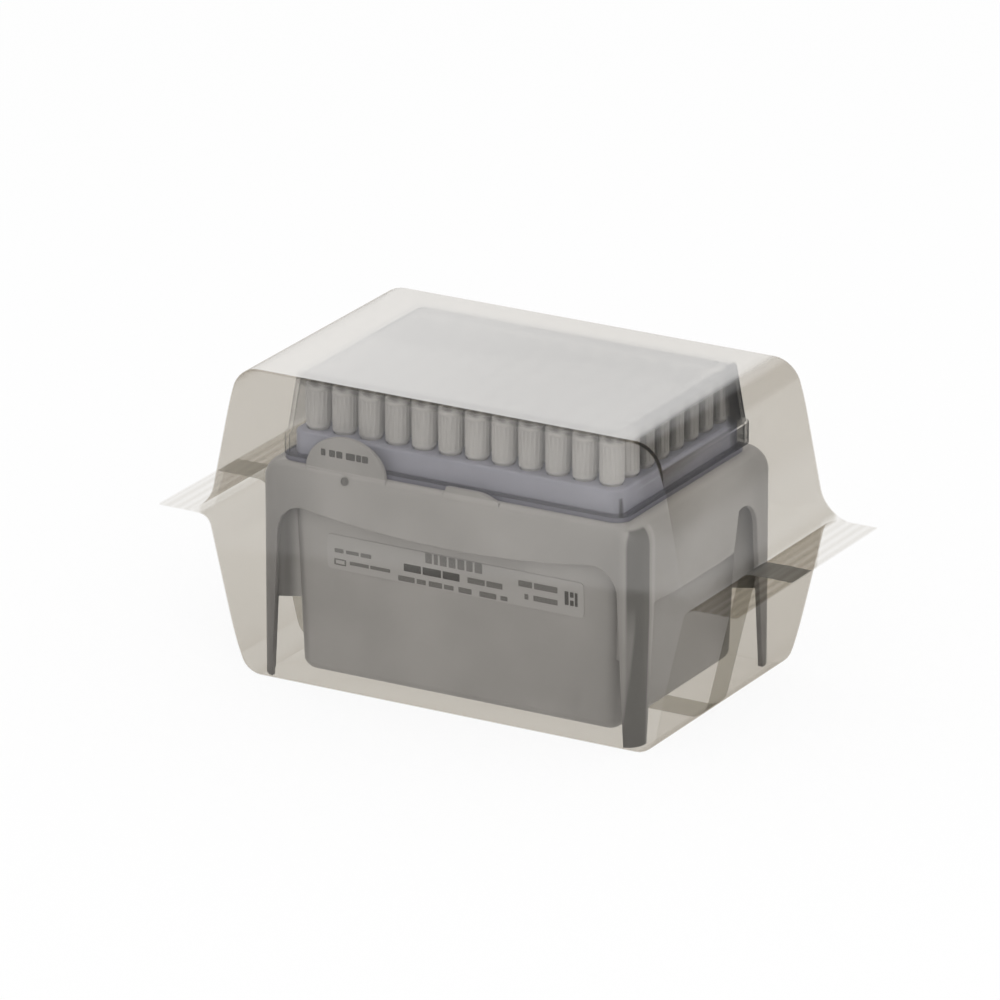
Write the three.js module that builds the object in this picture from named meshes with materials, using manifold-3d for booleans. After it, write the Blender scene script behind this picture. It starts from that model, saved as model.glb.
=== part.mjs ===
// A sealed box of pipette tips: base, tray, 96 tips and a clear lid, wrapped in flow-pack film.
// Millimetres, +Z up. The origin is on the table, under the middle of the pack, and the label
// tab faces -Y. The box is sized outwards from its field of tips.
import * as THREE from 'three';
import { mergeVertices } from 'three/addons/utils/BufferGeometryUtils.js';
import Module from 'manifold-3d';

const wasm = await Module();
wasm.setup();

// ---- Driving dimensions ----

const clearance = 0.3; // between any two pieces that meet
const overcut = 1; // how far a cutter runs past the face it opens

// Tips
const tipPitch = 9;
const columnCount = 12;
const rowCount = 8;
const tipLength = 77;
const collarRadius = 4.15;
const collarHeight = 11.2; // stands above the deck
const collarBore = 3.1; // radius of the mouth
const shaftRadius = 3.4; // where the tip hangs in the deck
const midRadius = 2.1; // at the change of taper
const midHeight = 34; // above the point
const pointRadius = 0.75;
const pointBore = 0.3; // radius of the outlet
const ownTipCount = 56; // tips that are pieces of their own; the rest are joined to the tray

// Tray
const trayHeight = 9.7; // from the base's ledge to the top of the deck
const trayWall = 1.5;
const deckThickness = 1.8;
const weldDepth = 0.3; // how far the deck reaches into a joined tip's wall
const trayEdge = 0.8; // rounding of the deck's edge

// Lid
const lidWall = 1.25;
const lidSideRoom = 0.7; // between the outer tips and the lid
const lidTopRoom = 3.25; // above the tips
const lidDraft = 1.2; // how far the sides lean in
const lidStep = 1.4; // from the sides out to the skirt
const lidCorner = 5;
const lidTopEdge = 2.2; // rounding of the top edge
const recessDepth = 0.5; // of the rear panel on the top
const recessMargin = 4; // from the panel to the lid's sides
const waveCentre = 7.3; // where the panel's wavy front edge runs, behind the middle
const waveHeight = 5.4; // how far the edge swings to either side
const waveLength = 128;
const waveShift = -4; // where the edge crosses its own middle

// Base
const shoulderRunLong = 5.7; // how far the shoulder stands out past the lid, at the ends
const shoulderRunWide = 2.55; // and at the front and back
const shoulderDrop = 7;
const baseCorner = 6;
const baseWall = 1.6;
const ledgeWidth = 3; // from the lid's outside to the tub's outside
const tubDraft = 1;
const tubWall = 1.6;
const tubEdge = 3.5; // rounding round the tub's bottom
const tubGap = 2.8; // from the feet up to the tub
const pointRoom = 9.4; // from the tub's floor up to the tips' points
const archDepth = 14.5; // from the ledge down to the arches
const archSag = 3.8; // how far an arch's edge dips in its middle
const archCorner = 8;
const frontLegTop = 7;
const frontLegFoot = 4.2;
const sideLegTop = 12;
const sideLegFoot = 6.8;
const webWall = 1.6;
const webLift = 24; // from the feet up to the corner webs

// Label tab and thumb stop on the front edge
const tabWidth = 27;
const tabHeight = 9.7;
const tabCentre = -37.5;
const tabWall = 1.4;
const stopStart = -3;
const stopLength = 18.6;
const stopHeight = 2;
const stopRamp = 7;

// Hinges at the back
const hingeOffset = 32; // from the middle of the box
const hingeWidth = 16;
const lugWidth = 2.5;
const lugRadius = 1.7;
const pinRadius = 1;
const hookWall = 0.6;
const hookMouth = 1.6;
const pinRise = 2.8; // from the ledge up to the pin's axis

// Film
const filmWall = 0.4;
const filmTopSlack = 6.8; // from the base's end to the end of the flat top
const filmFootSlack = 5.3; // and to the end of the flat bottom
const filmNose = 16.8; // from the base's end to the end seal
const finLength = 17;
const finGap = 0.3; // between the two webs of an end seal
const filmTopBend = 7.5; // where the bend at the top starts, measured along the web
const upperSealBend = 9; // and the bends above and below an end seal
const lowerSealBend = 3;
const backSealWidth = 12; // the lengthwise seal under the pack
const backSealCentre = -3.8; // in front of the middle

// Fineness of the round stretches
const ringTipSides = 8;
const innerTipSides = 6;
const cornerSteps = 4;
const edgeSteps = 3;
const curveSteps = 6;
const waveSteps = 16;
const hingeSides = 12;

// ---- Sizes that follow from them ----

const fieldHalfX = (columnCount - 1) * tipPitch / 2;
const fieldHalfY = (rowCount - 1) * tipPitch / 2;

const lidTopHalfX = fieldHalfX + collarRadius + lidSideRoom + lidWall;
const lidTopHalfY = fieldHalfY + collarRadius + lidSideRoom + lidWall;
const skirtHalfX = lidTopHalfX + lidDraft + lidStep;
const skirtHalfY = lidTopHalfY + lidDraft + lidStep;
const trayHalfX = skirtHalfX - lidWall - clearance;
const trayHalfY = skirtHalfY - lidWall - clearance;
const baseHalfX = skirtHalfX + shoulderRunLong;
const baseHalfY = skirtHalfY + shoulderRunWide;
const tubHalfX = skirtHalfX - ledgeWidth;
const tubHalfY = skirtHalfY - ledgeWidth;

const footZ = filmWall + clearance;
const tubZ = footZ + tubGap;
const pointZ = tubZ + tubWall + pointRoom;
const tipTopZ = pointZ + tipLength;
const deckZ = tipTopZ - collarHeight - clearance;
const ledgeZ = deckZ - trayHeight - clearance;
const lidStepZ = deckZ + clearance + lidWall;
const lidTopZ = tipTopZ + lidTopRoom + lidWall;
const filmTopZ = lidTopZ + clearance + filmWall;

const filmHalfY = baseHalfY + clearance + filmWall;
const filmTopHalf = baseHalfX + filmTopSlack;
const filmFootHalf = baseHalfX + filmFootSlack;
const sealHalf = baseHalfX + filmNose;
const finEnd = sealHalf + finLength;
const sealZ = filmTopZ / 2;
const finHalf = filmWall + finGap / 2;

const pinY = skirtHalfY + lidStep / 2;
const pinZ = ledgeZ + pinRise;

// ---- Materials ----

const plastic = (color, roughness, opacity = 1) => new THREE.MeshStandardMaterial({
  color, roughness, metalness: 0, opacity, transparent: opacity < 1, flatShading: true,
});
const filmMaterial = plastic(0xc9c5bb, 0.25, 0.3);
const lidMaterial = plastic(0xe4e4e0, 0.2, 0.35);
const trayMaterial = plastic(0x6c6e7c, 0.45);
const tipMaterial = plastic(0xb4b0a8, 0.4);
const baseMaterial = plastic(0x6f6c66, 0.5);

// ---- Solids from three.js geometry ----

// Turns a closed geometry into a solid that can be joined and cut.
function toSolid(geometry, matrix = new THREE.Matrix4()) {
  const bare = geometry.clone().applyMatrix4(matrix);
  bare.deleteAttribute('normal');
  bare.deleteAttribute('uv');
  const merged = mergeVertices(bare, 1e-4);
  return new wasm.Manifold(new wasm.Mesh({
    numProp: 3,
    vertProperties: merged.attributes.position.array,
    triVerts: new Uint32Array(merged.index.array),
  }));
}

function toMesh(name, solid, material) {
  const result = solid.getMesh();
  const geometry = new THREE.BufferGeometry();
  geometry.setAttribute('position', new THREE.BufferAttribute(result.vertProperties, 3));
  geometry.setIndex(new THREE.BufferAttribute(result.triVerts, 1));
  const mesh = new THREE.Mesh(geometry, material);
  mesh.name = name;
  return mesh;
}

const joined = (solids) => wasm.Manifold.union(solids);

// A rounded rectangle, anticlockwise from above, always with the same number of points.
function roundedRectangle({ halfX, halfY, radius }) {
  const quarters = [[1, 1], [-1, 1], [-1, -1], [1, -1]];
  return quarters.flatMap(([sideX, sideY], quarter) =>
    Array.from({ length: cornerSteps + 1 }, (_, step) => {
      const angle = (quarter + step / cornerSteps) * Math.PI / 2;
      return new THREE.Vector2(
        sideX * (halfX - radius) + radius * Math.cos(angle),
        sideY * (halfY - radius) + radius * Math.sin(angle),
      );
    }));
}

// A closed skin through a stack of rounded rectangles, lowest first.
function loft(levels) {
  const rings = levels.map(roundedRectangle);
  const count = rings[0].length;
  const positions = rings.flatMap((ring, level) => ring.flatMap((p) => [p.x, p.y, levels[level].z]));
  const index = [];
  for (let level = 0; level + 1 < rings.length; level++) {
    for (let i = 0; i < count; i++) {
      const next = (i + 1) % count;
      const [a, b] = [level * count + i, level * count + next];
      index.push(a, b, b + count, a, b + count, a + count);
    }
  }
  const top = (rings.length - 1) * count;
  for (const [a, b, c] of THREE.ShapeUtils.triangulateShape(rings[0], [])) index.push(a, c, b);
  for (const [a, b, c] of THREE.ShapeUtils.triangulateShape(rings[rings.length - 1], [])) {
    index.push(top + a, top + b, top + c);
  }
  const geometry = new THREE.BufferGeometry();
  geometry.setAttribute('position', new THREE.Float32BufferAttribute(positions, 3));
  geometry.setIndex(index);
  return toSolid(geometry);
}

// Steps along a quarter round: across runs 0 to 1 and rise runs 0 to 1.
function quarterRound(make) {
  return Array.from({ length: edgeSteps + 1 }, (_, step) => {
    const angle = step / edgeSteps * Math.PI / 2;
    return make(1 - Math.cos(angle), Math.sin(angle));
  });
}

// A shape drawn in X and Z, extruded from one Y to another.
function alongY(shape, fromY, toY) {
  const geometry = new THREE.ExtrudeGeometry(shape, {
    depth: toY - fromY, bevelEnabled: false, curveSegments: curveSteps,
  });
  const place = new THREE.Matrix4().makeBasis(
    new THREE.Vector3(1, 0, 0), new THREE.Vector3(0, 0, 1), new THREE.Vector3(0, -1, 0),
  ).setPosition(0, toY, 0);
  return toSolid(geometry, place);
}

// A shape drawn in Y and Z, extruded from one X to another.
function alongX(shape, fromX, toX) {
  const geometry = new THREE.ExtrudeGeometry(shape, {
    depth: toX - fromX, bevelEnabled: false, curveSegments: curveSteps,
  });
  const place = new THREE.Matrix4().makeBasis(
    new THREE.Vector3(0, 1, 0), new THREE.Vector3(0, 0, 1), new THREE.Vector3(1, 0, 0),
  ).setPosition(fromX, 0, 0);
  return toSolid(geometry, place);
}

function box(low, high) {
  const size = high.map((value, axis) => value - low[axis]);
  const centre = high.map((value, axis) => (value + low[axis]) / 2);
  return toSolid(new THREE.BoxGeometry(...size), new THREE.Matrix4().setPosition(...centre));
}

// A round bar along X.
function bar(radius, centreY, centreZ, fromX, toX) {
  const turn = new THREE.Matrix4().makeRotationZ(-Math.PI / 2);
  const place = new THREE.Matrix4().setPosition((fromX + toX) / 2, centreY, centreZ);
  return toSolid(new THREE.CylinderGeometry(radius, radius, toX - fromX, hingeSides),
    place.multiply(turn));
}

// ---- Tips ----

// A hollow tip, open at its mouth and at its point, standing on its point.
function tipGeometry(sides) {
  const seat = tipLength - collarHeight;
  const profile = [
    [pointBore, 0],
    [pointRadius, 0],
    [midRadius, midHeight],
    [shaftRadius, seat],
    [collarRadius, seat],
    [collarRadius, tipLength],
    [collarBore, tipLength],
    [pointBore, 0],
  ].map(([radius, height]) => new THREE.Vector2(radius, height));
  return new THREE.LatheGeometry(profile, sides).rotateX(Math.PI / 2);
}

// Every place in the field, those at its edge first: rows a to h from the back, columns 1 to 12
// from the left. The first of them hold tips of their own.
function tipPlaces() {
  const places = [];
  for (let row = 0; row < rowCount; row++) {
    for (let column = 0; column < columnCount; column++) {
      const rowDepth = Math.min(row, rowCount - 1 - row);
      const inRing = rowDepth === 0 || column === 0 || column === columnCount - 1;
      places.push({
        name: `tip_${String.fromCharCode(97 + row)}${column + 1}`,
        x: column * tipPitch - fieldHalfX,
        y: fieldHalfY - row * tipPitch,
        order: inRing ? 0 : rowDepth,
        sides: inRing ? ringTipSides : innerTipSides,
      });
    }
  }
  return places.sort((one, other) => one.order - other.order);
}

// ---- Tray ----

const at = (x, y, z) => new THREE.Matrix4().setPosition(x, y, z);

function deckHole({ x, y, sides }, radius) {
  const depth = 2 * (deckThickness + overcut);
  const geometry = new THREE.CylinderGeometry(radius, radius, depth, sides).rotateX(Math.PI / 2);
  return toSolid(geometry, at(x, y, deckZ));
}

// The deck with its skirt. Most tips hang loose in holes. The block in the middle is more
// than can be pieces of their own, so those stand on the deck and are joined to it.
function traySolid(loosePlaces, joinedPlaces) {
  const radius = lidCorner - lidWall;
  const bottomZ = ledgeZ + clearance;
  const outside = loft([
    { halfX: trayHalfX, halfY: trayHalfY, radius, z: bottomZ },
    ...quarterRound((across, rise) => ({
      halfX: trayHalfX - across * trayEdge,
      halfY: trayHalfY - across * trayEdge,
      radius: radius - across * trayEdge,
      z: deckZ - trayEdge * (1 - rise),
    })),
  ]);
  const inside = loft([bottomZ - overcut, deckZ - deckThickness].map((z) => ({
    halfX: trayHalfX - trayWall, halfY: trayHalfY - trayWall, radius: radius - trayWall, z,
  })));
  const looseHoles = loosePlaces.map((place) => deckHole(place, shaftRadius + clearance));
  const joinedHoles = joinedPlaces.map((place) => deckHole(place, shaftRadius - weldDepth));
  const tips = joinedPlaces.map(({ x, y, sides }) =>
    toSolid(tipGeometry(sides), at(x, y, pointZ - clearance)));
  return outside.subtract(inside)
    .subtract(joined([...looseHoles, ...joinedHoles]))
    .add(joined(tips));
}

// ---- Lid ----

// The lid's outside, or its inside at a wall's depth.
function lidBody(wall, bottomZ) {
  const topEdge = lidTopEdge - wall;
  const edgeZ = lidTopZ - wall - topEdge;
  const skirt = { halfX: skirtHalfX - wall, halfY: skirtHalfY - wall, radius: lidCorner - wall };
  const lean = (z) => lidDraft * (lidTopZ - z) / (lidTopZ - lidStepZ);
  const side = (z, inset) => ({
    halfX: lidTopHalfX + lean(z) - wall - inset,
    halfY: lidTopHalfY + lean(z) - wall - inset,
    radius: lidCorner - wall - inset,
    z,
  });
  return loft([
    { ...skirt, z: bottomZ },
    { ...skirt, z: lidStepZ - wall },
    side(lidStepZ - wall, 0),
    ...quarterRound((across, rise) => side(edgeZ + topEdge * rise, topEdge * across)),
  ]);
}

// The low panel at the back of the top, with its wavy front edge.
function topRecess() {
  const halfX = lidTopHalfX - recessMargin;
  const backY = lidTopHalfY - recessMargin;
  const wave = (x) => waveCentre + waveHeight * Math.sin(2 * Math.PI * (x - waveShift) / waveLength);
  const shape = new THREE.Shape();
  shape.moveTo(halfX, backY);
  shape.lineTo(-halfX, backY);
  for (let step = 0; step <= waveSteps; step++) {
    const x = halfX * (2 * step / waveSteps - 1);
    shape.lineTo(x, wave(x));
  }
  const depth = recessDepth + overcut;
  const geometry = new THREE.ExtrudeGeometry(shape, { depth, bevelEnabled: false });
  return toSolid(geometry, at(0, 0, lidTopZ - recessDepth));
}

// A hook that grips the base's hinge pin from above, and the notch it hangs in.
function hingeHook(centreX) {
  const half = hingeWidth / 2 - lugWidth - clearance;
  const outer = pinRadius + clearance + hookWall;
  const roof = pinZ + lugRadius + clearance + lidWall;
  const hanger = box([centreX - half, skirtHalfY - lidWall, pinZ], [centreX + half, skirtHalfY, roof]);
  const mouth = box(
    [centreX - half - overcut, pinY - hookMouth / 2, pinZ - outer - overcut],
    [centreX + half + overcut, pinY + hookMouth / 2, pinZ],
  );
  return bar(outer, pinY, pinZ, centreX - half, centreX + half)
    .add(hanger)
    .subtract(bar(pinRadius + clearance, pinY, pinZ, centreX - half - overcut, centreX + half + overcut))
    .subtract(mouth);
}

function hingeNotch(centreX) {
  const half = hingeWidth / 2 + clearance;
  return box(
    [centreX - half, skirtHalfY - lidWall - clearance, ledgeZ],
    [centreX + half, skirtHalfY + overcut, pinZ + lugRadius + clearance],
  );
}

function lidSolid() {
  const bottomZ = ledgeZ + clearance;
  const hinges = [-hingeOffset, hingeOffset];
  return lidBody(0, bottomZ)
    .subtract(lidBody(lidWall, bottomZ - overcut))
    .subtract(topRecess())
    .subtract(joined(hinges.map(hingeNotch)))
    .add(joined(hinges.map(hingeHook)));
}

// ---- Base ----

// The outer shell under its rounded shoulder, or its inside at a wall's depth.
function shellBody(wall, bottomZ) {
  return loft([
    { halfX: baseHalfX - wall, halfY: baseHalfY - wall, radius: baseCorner - wall, z: bottomZ },
    ...quarterRound((across, rise) => ({
      halfX: baseHalfX - wall - across * shoulderRunLong,
      halfY: baseHalfY - wall - across * shoulderRunWide,
      radius: baseCorner - wall - across * (baseCorner - lidCorner),
      z: ledgeZ - wall - shoulderDrop * (1 - rise),
    })),
  ]);
}

// The tub's outside, or its inside at a wall's depth.
function tubBody(wall, topZ) {
  const height = ledgeZ - tubZ;
  const side = (z, inset) => ({
    halfX: tubHalfX - wall - inset - tubDraft * (ledgeZ - z) / height,
    halfY: tubHalfY - wall - inset - tubDraft * (ledgeZ - z) / height,
    radius: baseCorner - wall,
    z,
  });
  const edge = tubEdge - wall;
  const bottomZ = tubZ + wall;
  const bottomEdge = quarterRound((across, rise) => side(bottomZ + edge * (1 - rise), edge * across));
  return loft([...bottomEdge.reverse(), side(topZ, 0)]);
}

// An arch that leaves a leg at each side, with a dip in the middle of its top.
function archShape(halfTop, halfFoot) {
  const crown = ledgeZ - archDepth;
  const shape = new THREE.Shape();
  shape.moveTo(-halfFoot, footZ - overcut);
  shape.lineTo(halfFoot, footZ - overcut);
  shape.lineTo(halfTop, crown - archCorner);
  shape.quadraticCurveTo(halfTop, crown, halfTop - archCorner, crown);
  shape.quadraticCurveTo(0, crown - 2 * archSag, archCorner - halfTop, crown);
  shape.quadraticCurveTo(-halfTop, crown, -halfTop, crown - archCorner);
  return shape;
}

// A thin upright web from a corner of the tub to the corner of the shell beside it.
function cornerWeb(sideX, sideY) {
  const from = new THREE.Vector2(sideX * (tubHalfX - baseCorner), sideY * (tubHalfY - baseCorner));
  const to = new THREE.Vector2(sideX * baseHalfX, sideY * baseHalfY);
  const along = to.clone().sub(from);
  const lowZ = footZ + webLift;
  const geometry = new THREE.BoxGeometry(along.length(), webWall, ledgeZ - lowZ);
  geometry.rotateZ(along.angle());
  return toSolid(geometry, at((from.x + to.x) / 2, (from.y + to.y) / 2, (lowZ + ledgeZ) / 2));
}

// The half-round label tab and the low stop beside it, standing in front of the lid.
function frontTabs() {
  const backY = -(skirtHalfY + clearance);
  const root = ledgeZ - baseWall;
  const tab = new THREE.Shape();
  tab.moveTo(tabCentre - tabWidth / 2, root);
  tab.lineTo(tabCentre + tabWidth / 2, root);
  tab.lineTo(tabCentre + tabWidth / 2, ledgeZ);
  tab.absellipse(tabCentre, ledgeZ, tabWidth / 2, tabHeight, 0, Math.PI);
  const stop = new THREE.Shape();
  stop.moveTo(stopStart, root);
  stop.lineTo(stopStart + stopLength, root);
  stop.lineTo(stopStart + stopLength, ledgeZ);
  stop.quadraticCurveTo(stopStart + stopLength - stopRamp / 2, ledgeZ + stopHeight,
    stopStart + stopLength - stopRamp, ledgeZ + stopHeight);
  stop.lineTo(stopStart + stopHeight / 2, ledgeZ + stopHeight);
  stop.lineTo(stopStart, ledgeZ);
  return joined([tab, stop].map((shape) => alongY(shape, backY - tabWall, backY)));
}

// Two lugs with a pin between them, which the lid's hook grips.
function hingeLugs(centreX) {
  const root = ledgeZ - baseWall;
  const lug = new THREE.Shape();
  lug.moveTo(pinY - lugRadius, root);
  lug.lineTo(pinY + lugRadius, root);
  lug.lineTo(pinY + lugRadius, pinZ);
  lug.absarc(pinY, pinZ, lugRadius, 0, Math.PI);
  const half = hingeWidth / 2;
  return joined([
    alongX(lug, centreX - half, centreX - half + lugWidth),
    alongX(lug, centreX + half - lugWidth, centreX + half),
    bar(pinRadius, pinY, pinZ, centreX - half + lugWidth / 2, centreX + half - lugWidth / 2),
  ]);
}

// One moulding: the shell on its four corner legs, the tub, the webs, the tab and the hinges.
function baseSolid() {
  const endArch = archShape(baseHalfY - sideLegTop, baseHalfY - sideLegFoot);
  const frontArch = archShape(baseHalfX - frontLegTop, baseHalfX - frontLegFoot);
  const webs = [[1, 1], [-1, 1], [-1, -1], [1, -1]].map(([sideX, sideY]) => cornerWeb(sideX, sideY));
  const open = shellBody(baseWall, footZ - overcut)
    .add(alongY(frontArch, -baseHalfY - overcut, baseHalfY + overcut))
    .add(alongX(endArch, -baseHalfX - overcut, baseHalfX + overcut))
    .subtract(tubBody(0, ledgeZ + overcut))
    .subtract(joined(webs));
  return shellBody(0, footZ)
    .subtract(open)
    .subtract(tubBody(tubWall, ledgeZ + overcut))
    .add(frontTabs())
    .add(joined([-hingeOffset, hingeOffset].map(hingeLugs)));
}

// ---- Film ----

// Moves every side of an anticlockwise polygon inwards by its own distance.
function insetPolygon(points, distances) {
  const sides = points.map((point, i) => {
    const along = points[(i + 1) % points.length].clone().sub(point).normalize();
    const inward = new THREE.Vector2(-along.y, along.x);
    return { start: point.clone().addScaledVector(inward, distances[i]), along };
  });
  return sides.map(({ start, along }, i) => {
    const before = sides.at(i - 1);
    const gap = start.clone().sub(before.start);
    const reach = gap.cross(along) / before.along.cross(along);
    return before.start.clone().addScaledVector(before.along, reach);
  });
}

// A polygon whose corners are rounded, each from its own distance before and after the corner.
function bentShape(points, bends) {
  const shape = new THREE.Shape();
  points.forEach((point, i) => {
    const towards = (other) => point.clone().add(
      other.clone().sub(point).normalize().multiplyScalar(bends[i]));
    const start = towards(points.at(i - 1));
    const end = towards(points[(i + 1) % points.length]);
    if (i === 0) shape.moveTo(start.x, start.y);
    else shape.lineTo(start.x, start.y);
    if (bends[i] > 0) shape.quadraticCurveTo(point.x, point.y, end.x, end.y);
  });
  return shape;
}

// The film seen from the front, with its panels, its fins and the fins' ends moved inwards.
function filmShape(panelInset, finInset, endInset) {
  const right = [
    [filmFootHalf, 0, filmFootSlack],
    [sealHalf, sealZ - finHalf, lowerSealBend],
    [finEnd, sealZ - finHalf, 0],
    [finEnd, sealZ + finHalf, 0],
    [sealHalf, sealZ + finHalf, upperSealBend],
    [filmTopHalf, filmTopZ, filmTopBend],
  ];
  const corners = [...right, ...right.map(([x, z, bend]) => [-x, z, bend]).reverse()];
  const end = [panelInset, finInset, endInset, finInset, panelInset];
  const insets = [...end, panelInset, ...end, panelInset];
  const outline = insetPolygon(corners.map(([x, z]) => new THREE.Vector2(x, z)), insets);
  return bentShape(outline, corners.map(([, , bend]) => bend));
}

// One web of film round the box. Its two layers lie just apart in the end fins, and it is
// double along the lengthwise seal, whose extra layer lies inside, so the pack sits flat.
function filmSolid() {
  const skin = alongY(filmShape(0, 0, 0), -filmHalfY, filmHalfY);
  const inside = filmShape(filmWall, filmWall, -overcut);
  const room = alongY(inside, filmWall - filmHalfY, filmHalfY - filmWall);
  const [sealFront, sealBack] = [-1, 1].map((side) => backSealCentre + side * backSealWidth / 2);
  const backSeal = alongY(inside, sealFront, sealBack)
    .subtract(alongY(filmShape(2 * filmWall, filmWall, -overcut), -filmHalfY, filmHalfY))
    .intersect(box([-sealHalf, sealFront, -overcut], [sealHalf, sealBack, sealZ - finHalf]));
  return skin.subtract(room).add(backSeal);
}

// ---- The pack ----

const places = tipPlaces();
const loosePlaces = places.slice(0, ownTipCount);
const joinedPlaces = places.slice(ownTipCount);

const pack = new THREE.Group();
pack.add(toMesh('film_wrap', filmSolid(), filmMaterial));
pack.add(toMesh('base', baseSolid(), baseMaterial));
pack.add(toMesh('tray', traySolid(loosePlaces, joinedPlaces), trayMaterial));
pack.add(toMesh('lid', lidSolid(), lidMaterial));

for (const { name, x, y, sides } of loosePlaces) {
  const tip = new THREE.Mesh(tipGeometry(sides), tipMaterial);
  tip.name = name;
  tip.position.set(x, y, pointZ);
  pack.add(tip);
}

export default pack;
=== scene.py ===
import math
from collections import namedtuple

import bmesh
import bpy
from mathutils import Matrix, Vector


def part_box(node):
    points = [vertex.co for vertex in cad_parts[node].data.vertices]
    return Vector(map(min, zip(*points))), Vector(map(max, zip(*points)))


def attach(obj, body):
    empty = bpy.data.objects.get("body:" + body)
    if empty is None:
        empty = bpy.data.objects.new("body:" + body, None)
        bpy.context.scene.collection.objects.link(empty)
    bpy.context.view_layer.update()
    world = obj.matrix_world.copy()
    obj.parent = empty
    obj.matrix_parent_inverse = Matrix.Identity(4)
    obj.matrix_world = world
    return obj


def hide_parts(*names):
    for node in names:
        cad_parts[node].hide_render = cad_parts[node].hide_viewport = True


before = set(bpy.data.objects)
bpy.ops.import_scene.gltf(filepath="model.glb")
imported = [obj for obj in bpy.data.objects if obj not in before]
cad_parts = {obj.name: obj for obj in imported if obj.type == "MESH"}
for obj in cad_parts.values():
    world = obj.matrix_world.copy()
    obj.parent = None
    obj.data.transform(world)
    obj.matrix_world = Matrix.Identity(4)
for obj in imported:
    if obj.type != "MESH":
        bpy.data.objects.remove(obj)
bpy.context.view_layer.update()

# ---- Sizes, in metres ----

MM = 0.001
OVERCUT = 1 * MM
MERGE_DISTANCE = 0.001 * MM
SAME_PLACE = 0.02 * MM
SHARP_ANGLE = 0.5
EDGE_SHARE = 0.98

film_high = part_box("film_wrap")[1]
base_low, base_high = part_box("base")
lid_low, lid_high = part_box("lid")
tray_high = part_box("tray")[1]
first_tip_low, first_tip_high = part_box("tip_a1")
last_tip_low, last_tip_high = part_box("tip_h12")
CLEARANCE = 0.3 * MM

# Tips, in columns and rows on one pitch
COLUMNS = 12
ROWS = 8
first_place = (first_tip_low + first_tip_high) / 2
last_place = (last_tip_low + last_tip_high) / 2
pitch = (last_place.x - first_place.x) / (COLUMNS - 1)
TIP_SIDES = 32
TIP_HEAD = 13.6 * MM
TIP_END_RADIUS = 0.75 * MM
TIP_END_BORE = 0.3 * MM
TIP_WAIST_Z = 34 * MM
RIB_REACH = 3.4 * MM
RIB_MARGIN = 2 * MM
RIB_INSET = 0.1 * MM
RIB_HEIGHT = 0.14 * MM

# Base
SHELL_PROUD = 2.55 * MM
base_half_x = base_high.x
base_half_y = -lid_low.y + SHELL_PROUD
foot_z = base_low.z
LEDGE_DROP = 1.2 * MM
ledge_z = lid_low.z - CLEARANCE - LEDGE_DROP
skirt_half_x = lid_high.x
skirt_half_y = -lid_low.y
BASE_CORNER = 6 * MM
BASE_WALL = 1.6 * MM
SHOULDER_DROP = 6.5 * MM
SHOULDER_STEPS = 8
LEDGE_WIDTH = 2.2 * MM
TUB_CORNER = 4.4 * MM
TUB_DRAFT = 2 * MM
TUB_EDGE = 3.5 * MM
TUB_EDGE_DRAFT = 0.3 * TUB_DRAFT
TUB_LIFT = 1 * MM
ARCH_DROP = 13.3 * MM
ARCH_SAG = 3.8 * MM
SIDE_ARCH_SAG = 13 * MM
SIDE_ARCH_BOW = 0.1
SIDE_SLOT_START = 17 * MM
SIDE_SLOT_RAMP = 3 * MM
ARCH_CORNER = 8 * MM
ARCH_LIP = 0.2 * MM
FRONT_ARCH_CUT = 3.4 * MM
SIDE_ARCH_CUT = 5 * MM

# Width of a leg beside the crown of its arch, and at its foot
FRONT_LEG = (7 * MM, 4.2 * MM)
SIDE_LEG = (12 * MM, 6.8 * MM)

# Webs between the tub and the shell
WEB_WALL = 1.6 * MM
WEB_LIFT = 24 * MM
WEB_IN_TUB = 3.5 * MM
WEB_IN_SHELL = 0.6 * MM
ROOT_DEPTH = 2.4 * MM

# Label tab, thumb stop and hinges
TAB_CENTRE = -34.4 * MM
TAB_WIDTH = 27 * MM
TAB_HEIGHT = 9.7 * MM + LEDGE_DROP
TAB_WALL = 1.4 * MM
TAB_EDGE = 0.35 * MM
STOP_START = -1.2 * MM
STOP_END = 17.4 * MM
STOP_RAMP = 7 * MM
STOP_RAMP_STEPS = 8
STOP_RAMP_CURVE = 1.3
STOP_HEIGHT = 2 * MM
STOP_EDGE = 0.3 * MM
HINGE_OFFSET = 32 * MM
HINGE_WIDTH = 16 * MM
LUG_WIDTH = 2.5 * MM
LUG_RADIUS = 1.7 * MM
PIN_RADIUS = 1 * MM
HOOK_WALL = 0.6 * MM
HOOK_MOUTH = 1.6 * MM
PIN_OUT = 0.7 * MM
PIN_UP = 2.8 * MM
pin_y = skirt_half_y + PIN_OUT
pin_z = ledge_z + LEDGE_DROP + PIN_UP
tab_back_y = -(skirt_half_y + CLEARANCE)

# Label, print and gate mark
LABEL_Z = 41.7 * MM
LABEL_PROUD = 0.12 * MM
LABEL_CORNER = 1.2 * MM
PRINT_PROUD = 0.05 * MM
PRINT_ROOT = 0.1 * MM
FINE_CORNER = 0.15 * MM
BOLD_CORNER = 0.2 * MM
TAB_PRINT_CORNER = 0.25 * MM
TAB_PRINT_Z = 74.3 * MM
GATE_RADIUS = 1.25 * MM
GATE_PIP = 0.12 * MM
GATE_SINK = 0.36 * MM
GATE_TILT = math.radians(12)
GATE_X = -34.3 * MM
GATE_Z = 66.5 * MM

# How far each step of the gate mark stands out, and how wide its rim is
GATE_STEPS = [(0.22 * MM, 0.3 * MM), (-0.18 * MM, 0.45 * MM)]

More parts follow.
